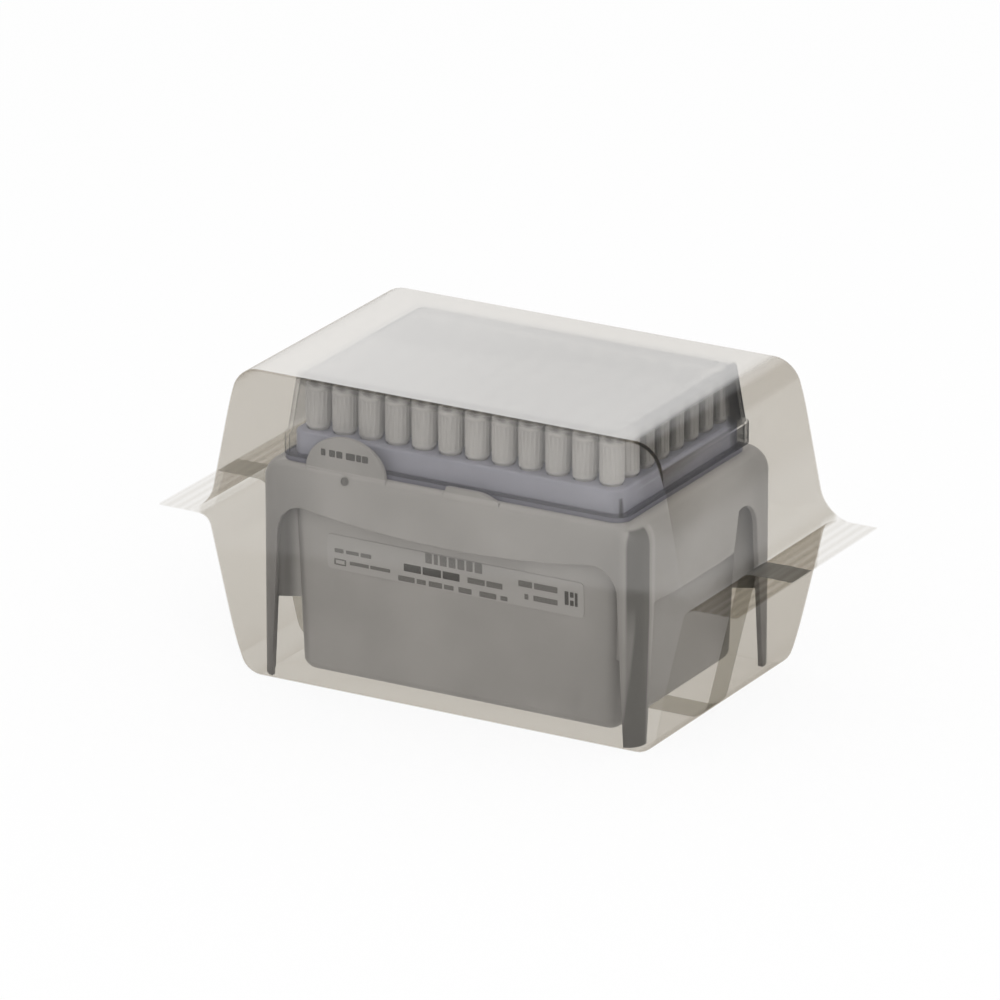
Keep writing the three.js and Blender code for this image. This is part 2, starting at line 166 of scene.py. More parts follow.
# Left, right, middle height and height of each mark, in millimetres from the middle of its plate
LABEL_PLATE = [(-43.4, 43.5, 0, 11)]
FINE_PRINT = [
    (-40.8, -37.8, 0.6, 1.3), (-36.9, -32.6, 0.6, 1.1), (-31.9, -28.3, 0.6, 1.3),
    (-41, -40.5, -3, 2), (-37.5, -37, -3, 2), (-40.5, -37.5, -2.2, 0.4), (-40.5, -37.5, -3.8, 0.4),
    (-35.7, -29.2, -2.7, 1.1), (-28.7, -21.9, -2.7, 1.1),
    (-9.8, -7.6, 3.8, 3.2), (-6.9, -5.6, 3.8, 3.2), (-4.9, -2.6, 3.8, 3.2), (-1.9, 0.4, 3.8, 3.2),
    (1.1, 3.4, 3.8, 3.2), (4.1, 6.2, 3.8, 3.2), (6.9, 9.4, 3.8, 3.2),
    (4.4, 10.2, -0.6, 1.8), (10.8, 16.2, -0.6, 1.8),
    (-19.2, -13.6, -4.2, 1.7), (-12.9, -9.8, -4.2, 1.5), (-8.8, -4.3, -4.2, 1.7), (-3.6, -0.4, -4.2, 1.4),
    (1.3, 5.7, -4.2, 1.7), (8.4, 14.1, -4.2, 1.7), (15.5, 17.8, -4.2, 1.4),
    (21.6, 26.2, 1.7, 1.9), (26.9, 34.7, 1.7, 1.9), (23.6, 24.9, -2.2, 1.7), (26.6, 34.7, -2.2, 1.7),
]
BOLD_PRINT = [
    (-17.2, -11.4, -0.5, 2.4), (-10.8, -4.6, -0.5, 2.4), (-4, 1.7, -0.5, 2.4),
    (37.1, 38.4, -0.1, 4.3), (38.9, 40.1, 1.2, 1.7), (38.9, 40.1, -1.4, 1.7), (40.5, 41.4, -0.1, 4.3),
]
TAB_PRINT = [
    (-42.6, -41.1, 0, 2.1), (-39.8, -37.8, 0, 2.1), (-37.4, -35.3, 0, 2.1), (-34.1, -31, 0, 2.1),
    (-30.6, -28.9, 0, 2.1), (-28.6, -26.6, 0, 2.1),
]

# Tray
TRAY_CORNER = 3.75 * MM
TRAY_WALL = 1.5 * MM
TRAY_EDGE = 0.8 * MM
DECK_THICKNESS = 1.8 * MM
HOLE_RADIUS = 3.3 * MM
HOLE_CUT = 8 * MM
TRAY_INSET = 1.35 * MM
FLANGE_INSET = 0.2 * MM
FLANGE_BACK_INSET = 3.5 * MM
FLANGE_GAP = 0.05 * MM
deck_z = first_tip_high.z - TIP_HEAD - CLEARANCE
flange_low = ledge_z + FLANGE_GAP
flange_high = lid_low.z - FLANGE_GAP

# Lid
LID_WALL = 1.25 * MM
LID_CORNER = 5 * MM
LID_STEP = 0.9 * MM
LID_LEAN = 2.3 * MM
LID_SKIRT = 6.7 * MM
LID_EDGE = 2.2 * MM
LID_STEP_EDGE = 0.35 * MM
lid_step_z = lid_low.z + LID_SKIRT
lid_top_z = lid_high.z
PANEL_MARGIN = 4 * MM
PANEL_DEPTH = 0.5 * MM
PANEL_RAMP = 1.5 * MM
PANEL_CORNER = 4 * MM
PANEL_FLARE = 0.4 * MM
WAVE_CENTRE = 7.3 * MM
WAVE_HEIGHT = 5.4 * MM
WAVE_LENGTH = 128 * MM
WAVE_SHIFT = -4 * MM
WAVE_STEPS = 40
BEAD_WAVE = 2 * math.pi / (pitch / 2)

# Film
FIN_LENGTH = 17 * MM
FIN_HALF = 0.32 * MM
FILM_WALL = 0.2 * MM
TOP_SLACK = 6.8 * MM
FOOT_SLACK = 5.3 * MM
TOP_BEND = 7.5 * MM
UPPER_SEAL_BEND = 9 * MM
LOWER_SEAL_BEND = 3 * MM
RIM_BEND = 1 * MM
LOW_RIM_BEND = 1.8 * MM
RIM_STOP = 2.5 * MM
CRIMP_PITCH = 3.3 * MM
CRIMP_HEIGHT = 0.16 * MM
BACK_SEAL_FRONT = -9.8 * MM
BACK_SEAL_REAR = 2.2 * MM
BACK_SEAL_TRIM = 0.03 * MM
BACK_SEAL_DEPTH = 0.3 * MM
BACK_SEAL_WALL = 0.08 * MM
CRIMP_WAVE = 2 * math.pi / CRIMP_PITCH
CORNER_SLANT = 2.1
film_half_y = film_high.y
film_top_z = film_high.z
seal_half = film_high.x - FIN_LENGTH
seal_z = film_top_z / 2
CORNER_REACH = CORNER_SLANT * seal_half + film_half_y - 2 * MM
film_top_half = base_half_x + TOP_SLACK
film_foot_half = base_half_x + FOOT_SLACK


# ---- Modelling by hand ----

def deselect():
    bpy.ops.object.select_all(action="DESELECT")


def activate(piece):
    deselect()
    piece.select_set(True)
    bpy.context.view_layer.objects.active = piece


def open_mesh(piece):
    """Opens a piece in edit mode, with all of it selected."""
    activate(piece)
    bpy.ops.object.mode_set(mode="EDIT")
    bpy.ops.mesh.select_mode(type="VERT")
    pick_all()


def close_mesh():
    bpy.ops.object.mode_set(mode="OBJECT")
    return bpy.context.object


def place_new(name):
    """Names what was just added and puts its place into its mesh."""
    piece = bpy.context.object
    piece.name = name
    piece.data.name = name
    bpy.ops.object.transform_apply(location=True, rotation=True, scale=True)
    return piece


def add_block(name, low, high):
    low, high = Vector(low), Vector(high)
    deselect()
    bpy.ops.mesh.primitive_cube_add(size=1, location=(low + high) / 2)
    piece = place_new(name)
    open_mesh(piece)
    grow(*(high - low), centre=(low + high) / 2)
    return close_mesh()


def add_disc(name, centre, radius, sides, across="Z"):
    """A flat disc that faces along Z, X or Y."""
    turn = {"Z": (0, 0, 0), "X": (0, math.pi / 2, 0), "Y": (math.pi / 2, 0, 0)}[across]
    deselect()
    bpy.ops.mesh.primitive_circle_add(
        vertices=sides, radius=radius, fill_type="NGON", location=centre, rotation=turn)
    return place_new(name)


def add_rounded_ring(name, half_x, half_y, radius, z, segments):
    """The outline of a rounded rectangle, without a face."""
    deselect()
    bpy.ops.mesh.primitive_plane_add(size=2, location=(0, 0, z))
    piece = place_new(name)
    open_mesh(piece)
    grow(x=half_x, y=half_y, centre=(0, 0, z))
    round_corners(radius, segments)
    pick_all()
    bpy.ops.mesh.delete(type="ONLY_FACE")
    return close_mesh()


def add_outline(name, points):
    """A flat face drawn point by point."""
    deselect()
    bpy.ops.mesh.primitive_plane_add(size=2)
    piece = place_new(name)
    open_mesh(piece)
    bpy.ops.mesh.merge(type="CENTER")
    bpy.ops.mesh.select_mode(type="VERT")
    move(*points[0])
    for start, end in zip(points, points[1:]):
        extrude(*(Vector(end) - Vector(start)))
    pick_all()
    bpy.ops.mesh.edge_face_add()
    return close_mesh()


def near(value, target):
    return abs(value - target) < SAME_PLACE


def middle(item):
    if isinstance(item, bmesh.types.BMVert):
        return item.co
    if isinstance(item, bmesh.types.BMEdge):
        return (item.verts[0].co + item.verts[1].co) / 2
    return item.calc_center_median()


def pick_all():
    bpy.ops.mesh.select_all(action="SELECT")


def pick(kind, passes):
    """In edit mode, selects only the vertices, edges or faces that pass."""
    bpy.ops.mesh.select_mode(type=kind)
    bpy.ops.mesh.select_all(action="DESELECT")
    body = bmesh.from_edit_mesh(bpy.context.edit_object.data)
    for item in {"VERT": body.verts, "EDGE": body.edges, "FACE": body.faces}[kind]:
        item.select_set(bool(passes(item)))
    body.select_flush_mode()
    bmesh.update_edit_mesh(bpy.context.edit_object.data)


def pick_rim(z):
    """Selects the open and the sharp edges that lie at one height."""
    pick("EDGE", lambda edge: all(near(v.co.z, z) for v in edge.verts)
         and (len(edge.link_faces) < 2 or edge.calc_face_angle() > SHARP_ANGLE))


def move(x=0.0, y=0.0, z=0.0):
    bpy.ops.transform.translate(value=(x, y, z))


def grow(x=1.0, y=1.0, z=1.0, centre=(0, 0, 0)):
    bpy.ops.transform.resize(value=(x, y, z), center_override=centre)


def extrude(x=0.0, y=0.0, z=0.0):
    bpy.ops.mesh.extrude_region_move(TRANSFORM_OT_translate={"value": (x, y, z)})


def round_edges(offset, segments):
    bpy.ops.mesh.bevel(offset=offset, segments=segments, affect="EDGES")


def round_corners(offset, segments):
    bpy.ops.mesh.bevel(offset=offset, segments=segments, affect="VERTICES")


def face_out():
    """In edit mode, points all faces outwards."""
    pick_all()
    bpy.ops.mesh.normals_make_consistent(inside=False)


def face_front_out(shell, front_y):
    """Turns an open shell round if its front wall faces inwards."""
    front = next(face for face in shell.data.polygons if near(face.center.y, front_y))
    if front.normal.y > 0:
        open_mesh(shell)
        bpy.ops.mesh.flip_normals()
        close_mesh()


def thicken_to(piece, x=0.0, y=0.0, z=0.0):
    """Pulls a flat face into a solid."""
    open_mesh(piece)
    extrude(x, y, z)
    face_out()
    return close_mesh()


def use_modifier(piece, kind, **settings):
    """Adds a modifier, sets it and applies it."""
    activate(piece)
    modifier = piece.modifiers.new(kind.lower(), kind)
    for name, value in settings.items():
        setattr(modifier, name, value)
    bpy.ops.object.modifier_apply(modifier=modifier.name)


def add_wall(piece, thickness):
    """Gives an open shell a wall on its inner side."""
    use_modifier(piece, "SOLIDIFY", thickness=thickness, offset=-1, use_even_offset=True)


def cut(piece, *cutters):
    """Takes cutters out of a piece, one after another, and removes them."""
    for cutter in cutters:
        use_modifier(piece, "BOOLEAN", operation="DIFFERENCE", object=cutter, solver="EXACT")
        bpy.data.objects.remove(cutter)


def weld(piece, *others):
    """Joins loose pieces to one that they reach into, all in one go."""
    loose = others[0]
    activate(loose)
    for other in others:
        other.select_set(True)
    if len(others) > 1:
        bpy.ops.object.join()
    use_modifier(piece, "BOOLEAN", operation="UNION", object=loose, solver="EXACT", use_self=True)
    bpy.data.objects.remove(loose)


def apply_place(piece):
    """Puts a piece's place, turn and scale into its mesh."""
    activate(piece)
    bpy.ops.object.transform_apply(location=True, rotation=True, scale=True)


def merge_outward(piece):
    """Merges the doubles of a mirrored piece, and points its faces outwards."""
    open_mesh(piece)
    bpy.ops.mesh.remove_doubles(threshold=MERGE_DISTANCE)
    bpy.ops.mesh.normals_make_consistent(inside=False)
    return close_mesh()


def smooth(piece, degrees=35):
    activate(piece)
    bpy.ops.object.shade_smooth_by_angle(angle=math.radians(degrees))


def copy_of(piece, name, place=(0, 0, 0)):
    copy = piece.copy()
    copy.data = piece.data.copy()
    copy.name = name
    copy.data.name = name
    copy.data.transform(Matrix.Translation(place))
    bpy.context.scene.collection.objects.link(copy)
    return copy


# ---- Base ----

def make_shell_and_tub():
    """One moulded sheet: up the shell, over the shoulder and the ledge, and down into the tub."""
    shell = add_rounded_ring("moulded_base", base_half_x, base_half_y, BASE_CORNER, foot_z, 10)
    open_mesh(shell)
    height = ledge_z - SHOULDER_DROP - foot_z
    extrude(z=height)
    run_x = (base_half_x - skirt_half_x) / base_half_x
    run_y = (base_half_y - skirt_half_y) / base_half_y
    across, rise = 0.0, 0.0
    for step in range(1, SHOULDER_STEPS + 1):
        angle = step / SHOULDER_STEPS * math.pi / 2
        new_across, new_rise = 1 - math.cos(angle), math.sin(angle)
        extrude(z=SHOULDER_DROP * (new_rise - rise))
        grow(x=(1 - new_across * run_x) / (1 - across * run_x),
             y=(1 - new_across * run_y) / (1 - across * run_y))
        across, rise = new_across, new_rise
    close_mesh()

    inner_x = skirt_half_x - LEDGE_WIDTH - BASE_WALL
    inner_y = skirt_half_y - LEDGE_WIDTH - BASE_WALL
    tub = add_rounded_ring("tub", inner_x, inner_y, TUB_CORNER - BASE_WALL, ledge_z, 10)
    open_mesh(tub)
    floor_z = foot_z + TUB_LIFT + BASE_WALL
    edge = TUB_EDGE - BASE_WALL
    extrude(z=floor_z + edge - ledge_z)
    grow(x=1 - TUB_DRAFT / inner_x, y=1 - TUB_DRAFT / inner_y)
    bpy.ops.mesh.edge_face_add()
    extrude(z=-edge)
    grow(x=1 - TUB_EDGE_DRAFT / inner_x, y=1 - TUB_EDGE_DRAFT / inner_y)
    pick_rim(floor_z)
    round_edges(edge * EDGE_SHARE, 4)
    close_mesh()

    activate(shell)
    tub.select_set(True)
    bpy.ops.object.join()
    open_mesh(shell)
    pick_rim(ledge_z)
    bpy.ops.mesh.bridge_edge_loops()
    face_out()
    close_mesh()
    face_front_out(shell, -base_half_y)
    add_wall(shell, BASE_WALL)
    return shell


def arch_cutter(name, half_span, legs, wall_half, depth, top_of):
    """What an arch takes out of one wall that faces -Y: slanting legs, round corners and a crown.

    top_of() gives the highest that the arch reaches at each place along the wall."""
    half_top, half_foot = half_span - legs[0], half_span - legs[1]
    crown = ledge_z - ARCH_DROP
    low = foot_z - OVERCUT
    cutter = add_outline(name, [(-half_foot, 0, low), (half_foot, 0, low),
                                (half_top, 0, crown), (-half_top, 0, crown)])
    open_mesh(cutter)
    pick("VERT", lambda v: near(v.co.z, crown))
    round_corners(ARCH_CORNER, 10)
    pick("EDGE", lambda e: all(near(v.co.z, crown) for v in e.verts))
    bpy.ops.mesh.subdivide(number_cuts=15)
    body = bmesh.from_edit_mesh(cutter.data)
    points = sorted({(round(v.co.x, 7), round(v.co.z, 7)) for v in body.verts if v.co.z > foot_z})
    for x, z in points:
        if z > top_of(x):
            pick("VERT", lambda v: near(v.co.x, x) and near(v.co.z, z))
            move(z=top_of(x) - z)
    pick_all()
    move(y=-wall_half + depth)
    extrude(y=ARCH_LIP - depth)
    extrude(y=-ARCH_LIP)
    grow(x=1 + ARCH_LIP / half_top, z=1 + ARCH_LIP / crown, centre=(0, 0, foot_z))
    extrude(y=-OVERCUT)
    face_out()
    return close_mesh()


def front_arch_top(x):
    """The crown of the front and back arches sags between its round corners."""
    half_sag = base_half_x - FRONT_LEG[0] - ARCH_CORNER
    return ledge_z - ARCH_DROP - ARCH_SAG * max(1 - (x / half_sag) ** 2, 0)


def side_arch_top(x):
    """The side arches are low and a little bowed, but for a slot beside one leg."""
    step = min(max((x - SIDE_SLOT_START) / SIDE_SLOT_RAMP, 0), 1)
    bow = 1 - SIDE_ARCH_BOW * (x / base_half_y) ** 2
    return ledge_z - ARCH_DROP - SIDE_ARCH_SAG * (1 - step) * bow


def turned_copy(piece, name, degrees):
    """A copy turned about the upright axis through the origin."""
    turned = copy_of(piece, name)
    open_mesh(turned)
    bpy.ops.transform.rotate(value=math.radians(degrees), orient_axis="Z", center_override=(0, 0, 0))
    return close_mesh()


def corner_web(side_x, side_y):
    """A thin upright web between a corner of the tub and the shell."""
    start = Vector((skirt_half_x - LEDGE_WIDTH - TUB_CORNER, skirt_half_y - LEDGE_WIDTH - TUB_CORNER, 0))
    end = Vector((base_half_x - BASE_CORNER, base_half_y - BASE_CORNER, 0))
    along = (end - start).normalized()
    start += along * (TUB_CORNER - WEB_IN_TUB)
    end += along * (BASE_CORNER - WEB_IN_SHELL)
    web = add_block("web", (0, -WEB_WALL / 2, foot_z + WEB_LIFT),
                    ((end - start).length, WEB_WALL / 2, ledge_z - SHOULDER_DROP - OVERCUT))
    web.rotation_euler.z = math.atan2(along.y, along.x)
    web.location = start
    apply_place(web)
    web.scale = (side_x, side_y, 1)
    apply_place(web)
    return merge_outward(web)


def stand_on_ledge(outline, edge, segments):
    """Gives an upright outline on the ledge its wall, with round front edges."""
    plate = thicken_to(outline, y=-TAB_WALL)
    open_mesh(plate)
    pick("EDGE", lambda e: all(near(v.co.y, tab_back_y - TAB_WALL) for v in e.verts)
         and min(v.co.z for v in e.verts) > ledge_z - SAME_PLACE)
    round_edges(edge, segments)
    return close_mesh()


def label_tab():
    """The half-round tab that stands in front of the lid."""
    tab = add_disc("tab", (TAB_CENTRE, tab_back_y, ledge_z), TAB_WIDTH / 2, 64, "Y")
    open_mesh(tab)
    grow(z=2 * TAB_HEIGHT / TAB_WIDTH, centre=(0, 0, ledge_z))
    bpy.ops.mesh.bisect(plane_co=(0, 0, ledge_z), plane_no=(0, 0, 1), clear_inner=True)
    pick_rim(ledge_z)
    extrude(z=-ROOT_DEPTH)
    close_mesh()
    return stand_on_ledge(tab, TAB_EDGE, 3)


def thumb_stop():
    """The low stop beside the tab, with a ramp at its right end."""
    ramp_points = []
    for step in range(STOP_RAMP_STEPS + 1):
        share = step / STOP_RAMP_STEPS
        rise = STOP_HEIGHT * math.sin(share * math.pi / 2) ** STOP_RAMP_CURVE
        ramp_points.append((STOP_END - STOP_RAMP * share, tab_back_y, ledge_z + rise))
    root = ledge_z - ROOT_DEPTH
    stop = add_outline("stop", [
        (STOP_START, tab_back_y, root), (STOP_END, tab_back_y, root), *ramp_points,
        (STOP_START + STOP_HEIGHT / 2, tab_back_y, ledge_z + STOP_HEIGHT),
        (STOP_START, tab_back_y, ledge_z),
    ])
    return stand_on_ledge(stop, STOP_EDGE, 2)


def round_bar(name, centre_y, centre_z, radius, start_x, end_x, sides=24):
    bar = add_disc(name, (start_x, centre_y, centre_z), radius, sides, "X")
    return thicken_to(bar, x=end_x - start_x)


def hinge_lug(start_x, end_x):
    """A lug with a round top."""
    lug = add_disc("lug", (start_x, pin_y, pin_z), LUG_RADIUS, 32, "X")
    open_mesh(lug)
    bpy.ops.mesh.bisect(plane_co=(0, 0, pin_z), plane_no=(0, 0, 1), clear_inner=True)
    pick_rim(pin_z)
    extrude(z=ledge_z - ROOT_DEPTH - pin_z)
    close_mesh()
    return thicken_to(lug, x=end_x - start_x)


def make_base():
    base = make_shell_and_tub()
    front = arch_cutter("front_arch", base_half_x, FRONT_LEG, base_half_y, FRONT_ARCH_CUT, front_arch_top)
    side = arch_cutter("side_arch", base_half_y, SIDE_LEG, base_half_x, SIDE_ARCH_CUT, side_arch_top)
    back = turned_copy(front, "back_arch", 180)
    right = turned_copy(side, "right_arch", 90)
    left = turned_copy(side, "left_arch", -90)
    bpy.data.objects.remove(side)
    cut(base, front, back, right, left)
    webs = [corner_web(x, y) for x, y in ((1, 1), (-1, 1), (-1, -1), (1, -1))]
    lugs = []
    for centre in (-HINGE_OFFSET, HINGE_OFFSET):
        start, end = centre - HINGE_WIDTH / 2, centre + HINGE_WIDTH / 2
        lugs += [hinge_lug(start, start + LUG_WIDTH), hinge_lug(end - LUG_WIDTH, end),
                 round_bar("pin", pin_y, pin_z, PIN_RADIUS, start + LUG_WIDTH / 2, end - LUG_WIDTH / 2)]
    weld(base, *webs, label_tab(), thumb_stop(), *lugs)
    smooth(base, 30)
    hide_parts("base")
    return base


# ---- Label, print and moulded mark ----

def flat_blocks(name, marks, proud, round_off):
    """Thin upright blocks round the origin, each given as left, right, middle height and height."""
    blocks = []
    for left, right, middle_z, height in marks:
        low = (left * MM, -proud, (middle_z - height / 2) * MM)
        high = (right * MM, PRINT_ROOT, (middle_z + height / 2) * MM)
        block = add_block(name, low, high)
        open_mesh(block)
        pick("EDGE", lambda e: abs(e.verts[0].co.y - e.verts[1].co.y) > 1e-6)
        round_edges(round_off, 3)
        close_mesh()
        blocks.append(block)
    activate(blocks[0])
    for block in blocks:
        block.select_set(True)
    bpy.ops.object.join()
    return bpy.context.object


def lean_onto(piece, tilt, place):
    """Turns a piece back by a tilt about X, and moves it to its place on a wall."""
    piece.rotation_euler.x = tilt
    piece.location = place
    apply_place(piece)
    return piece


def make_label():
    """A plate on the front of the tub, with greeked print: bars and blocks that spell nothing."""
    tilt = math.atan2(TUB_DRAFT, ledge_z - foot_z - TUB_LIFT)
    front_y = -(skirt_half_y - LEDGE_WIDTH) + (ledge_z - LABEL_Z) * math.tan(tilt)
    place = (0, front_y, LABEL_Z)
    plate = flat_blocks("label_plate", LABEL_PLATE, LABEL_PROUD, LABEL_CORNER)
    fine = flat_blocks("label_print", FINE_PRINT, LABEL_PROUD + PRINT_PROUD, FINE_CORNER)
    bold = flat_blocks("label_print_bold", BOLD_PRINT, LABEL_PROUD + PRINT_PROUD, BOLD_CORNER)
    return [lean_onto(piece, tilt, place) for piece in (plate, fine, bold)]


def make_tab_print():
    marks = flat_blocks("tab_print", TAB_PRINT, PRINT_PROUD, TAB_PRINT_CORNER)
    return lean_onto(marks, 0, (0, tab_back_y - TAB_WALL, TAB_PRINT_Z))


def make_gate_mark():
    """The small round mark that moulding leaves under the tab."""
    mark = add_disc("gate_mark", (0, 0, 0), GATE_RADIUS, 32, "Y")
    open_mesh(mark)
    for rise, rim in GATE_STEPS:
        extrude(y=-rise)
        bpy.ops.mesh.inset(thickness=rim)
    extrude(y=-GATE_PIP)
    face_out()
    close_mesh()
    smooth(mark, 30)
    return lean_onto(mark, -GATE_TILT, (GATE_X, GATE_SINK - base_half_y, GATE_Z))


# ---- Tray ----

def rounded_block(name, half_x, half_y, radius, low, high):
    block = add_rounded_ring(name, half_x, half_y, radius, low, 8)
    open_mesh(block)
    bpy.ops.mesh.edge_face_add()
    close_mesh()
    return thicken_to(block, z=high - low)


def make_tray():
    """A deck with a hole for every tip, a skirt, and a thin flange between the base and the lid."""
    half_x = tray_high.x - TRAY_INSET
    half_y = tray_high.y - TRAY_INSET
    tray = rounded_block("rack_tray", half_x, half_y, TRAY_CORNER, flange_low, deck_z)
    open_mesh(tray)
    pick_rim(deck_z)
    round_edges(TRAY_EDGE, 4)
    close_mesh()
    flange = rounded_block("flange", skirt_half_x - FLANGE_INSET, skirt_half_y - FLANGE_INSET,
                           LID_CORNER - FLANGE_INSET, flange_low, flange_high)
    open_mesh(flange)
    pick("VERT", lambda v: v.co.y > 0)
    move(y=-FLANGE_BACK_INSET)
    close_mesh()
    weld(tray, flange)
    hollow = rounded_block("hollow", half_x - TRAY_WALL, half_y - TRAY_WALL,
                           TRAY_CORNER - TRAY_WALL, flange_low - OVERCUT, deck_z - DECK_THICKNESS)
    hole = add_disc("holes", (first_place.x, first_place.y, deck_z - HOLE_CUT / 2), HOLE_RADIUS, TIP_SIDES)
    holes = thicken_to(hole, z=HOLE_CUT)
    row_pitch = (last_place.y - first_place.y) / (ROWS - 1)
    for count, step in ((COLUMNS, (pitch, 0, 0)), (ROWS, (0, row_pitch, 0))):
        use_modifier(holes, "ARRAY", count=count, use_relative_offset=False,
                     use_constant_offset=True, constant_offset_displace=step)
    cut(tray, hollow, holes)
    smooth(tray, 35)
    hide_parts("tray")
    return tray


# ---- Tips ----

def make_tip():
    """A hollow tip over the origin: taper, seat, ribbed head with a rim, and its bore."""
    length = first_tip_high.z - first_tip_low.z
    seat = length - TIP_HEAD
    tip = add_disc("tip", (0, 0, 0), TIP_END_RADIUS, TIP_SIDES)
    open_mesh(tip)
    bpy.ops.mesh.delete(type="ONLY_FACE")
    pick_all()
    outside = [
        (2.1 * MM, TIP_WAIST_Z), (2.95 * MM, seat), (3.1 * MM, seat), (3.5 * MM, seat + 0.3 * MM),
        (3.68 * MM, seat + 0.9 * MM), (3.68 * MM, seat + 1.5 * MM), (3.56 * MM, seat + 1.8 * MM),
        (3.58 * MM, length - 1.9 * MM), (3.72 * MM, length - 1.7 * MM), (3.72 * MM, length - 0.25 * MM),
        (3.55 * MM, length),
    ]
    bore = [
        (3.05 * MM, length), (2.85 * MM, length - 0.3 * MM), (2.4 * MM, seat - 4 * MM),
        (1.5 * MM, TIP_WAIST_Z), (TIP_END_BORE, 0),
    ]
    radius, height = TIP_END_RADIUS, 0.0
    for new_radius, new_height in outside + bore:
        extrude(z=new_height - height)
        grow(x=new_radius / radius, y=new_radius / radius, centre=(0, 0, new_height))
        radius, height = new_radius, new_height
    pick_rim(0)
    bpy.ops.mesh.bridge_edge_loops()
    face_out()
    slice_angle = 2 * math.pi / TIP_SIDES

    def on_rib(face):
        at = middle(face)
        on_head = at.xy.length > RIB_REACH and seat + RIB_MARGIN < at.z < length - RIB_MARGIN
        return on_head and round(math.atan2(at.y, at.x) / slice_angle - 0.5) % 2 == 0

    pick("FACE", on_rib)
    bpy.ops.mesh.inset(thickness=RIB_INSET, depth=RIB_HEIGHT, use_individual=True)
    close_mesh()
    smooth(tip, 40)
    return tip


def make_tips():
    tip = make_tip()
    tips = []
    for row in range(ROWS):
        for column in range(COLUMNS):
            place = Vector((
                first_place.x + (last_place.x - first_place.x) * column / (COLUMNS - 1),
                first_place.y + (last_place.y - first_place.y) * row / (ROWS - 1),
                first_tip_low.z,
            ))
            node = f"tip_{'abcdefgh'[row]}{column + 1}"
            fine_tip = copy_of(tip, f"fine_{node}", place)
            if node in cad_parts:
                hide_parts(node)
            tips.append(fine_tip)
    bpy.data.objects.remove(tip)
    return tips


# ---- Lid ----

def wavy_panel_cutter():
    """What the low rear panel takes out of the lid's top, with a sloping wavy front edge."""
    half_x = skirt_half_x - LID_STEP - LID_LEAN - PANEL_MARGIN
    back_y = skirt_half_y - LID_STEP - LID_LEAN - PANEL_MARGIN
    low = lid_top_z - PANEL_DEPTH
    xs = [half_x * (2 * step / WAVE_STEPS - 1) for step in range(WAVE_STEPS + 1)]
    wave = [(x, WAVE_CENTRE + WAVE_HEIGHT * math.sin(2 * math.pi * (x - WAVE_SHIFT) / WAVE_LENGTH), low)
            for x in xs]
    cutter = add_outline("rear_panel", [*wave, (half_x, back_y, low), (-half_x, back_y, low)])
    open_mesh(cutter)
    pick("VERT", lambda v: near(v.co.y, back_y))
    round_corners(PANEL_CORNER, 8)
    pick_all()
    extrude(z=PANEL_DEPTH)
    grow(x=1 + PANEL_FLARE / half_x)
    pick("VERT", lambda v: near(v.co.z, lid_top_z) and v.co.y < WAVE_CENTRE + WAVE_HEIGHT + 1 * MM)
    move(y=-PANEL_RAMP)
    pick("FACE", lambda f: near(middle(f).z, lid_top_z))
    extrude(z=OVERCUT)
    face_out()
    return close_mesh()


def hinge_notch(centre):
    """What a hinge takes out of the lid's rear wall."""
    half = HINGE_WIDTH / 2 + CLEARANCE
    return add_block("notch", (centre - half, skirt_half_y - LID_WALL - CLEARANCE, ledge_z),
                     (centre + half, skirt_half_y + OVERCUT, pin_z + LUG_RADIUS + CLEARANCE))


def hinge_hook(centre):
    """A hook that grips the base's hinge pin from above."""
    half = HINGE_WIDTH / 2 - LUG_WIDTH - CLEARANCE
    outer = PIN_RADIUS + CLEARANCE + HOOK_WALL
    hook = round_bar("hook", pin_y, pin_z, outer, centre - half, centre + half, 32)
    hanger = add_block("hanger", (centre - half, skirt_half_y - LID_WALL, pin_z),
                       (centre + half, skirt_half_y, pin_z + LUG_RADIUS + CLEARANCE + LID_WALL))
    weld(hook, hanger)
    bore = round_bar("bore", pin_y, pin_z, PIN_RADIUS + CLEARANCE,
                     centre - half - OVERCUT, centre + half + OVERCUT)
    mouth = add_block("mouth", (centre - half - OVERCUT, pin_y - HOOK_MOUTH / 2, pin_z - outer - OVERCUT),
                      (centre + half + OVERCUT, pin_y + HOOK_MOUTH / 2, pin_z))
    cut(hook, bore, mouth)
    return hook


def make_lid():
    """A clear cover: skirt, step, leaning sides, round top edge, rear panel and hinge hooks."""
    lid = add_rounded_ring("clear_lid", skirt_half_x, skirt_half_y, LID_CORNER, lid_low.z, 12)
    open_mesh(lid)
    extrude(z=lid_step_z - lid_low.z)
    bpy.ops.mesh.edge_face_add()
    bpy.ops.mesh.inset(thickness=LID_STEP)
    extrude(z=lid_top_z - lid_step_z)
    top_x = skirt_half_x - LID_STEP
    top_y = skirt_half_y - LID_STEP
    grow(x=1 - LID_LEAN / top_x, y=1 - LID_LEAN / top_y)
    pick_rim(lid_top_z)
    round_edges(LID_EDGE, 8)
    pick_rim(lid_step_z)
    round_edges(LID_STEP_EDGE, 2)
    face_out()
    close_mesh()
    face_front_out(lid, -skirt_half_y)
    add_wall(lid, LID_WALL)
    cut(lid, wavy_panel_cutter(), hinge_notch(-HINGE_OFFSET), hinge_notch(HINGE_OFFSET))
    weld(lid, hinge_hook(-HINGE_OFFSET), hinge_hook(HINGE_OFFSET))
    smooth(lid, 35)
    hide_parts("lid")
    return lid


# ---- Film ----

def runs_along_y(edge):
    return abs(edge.verts[0].co.y - edge.verts[1].co.y) > 1 * MM


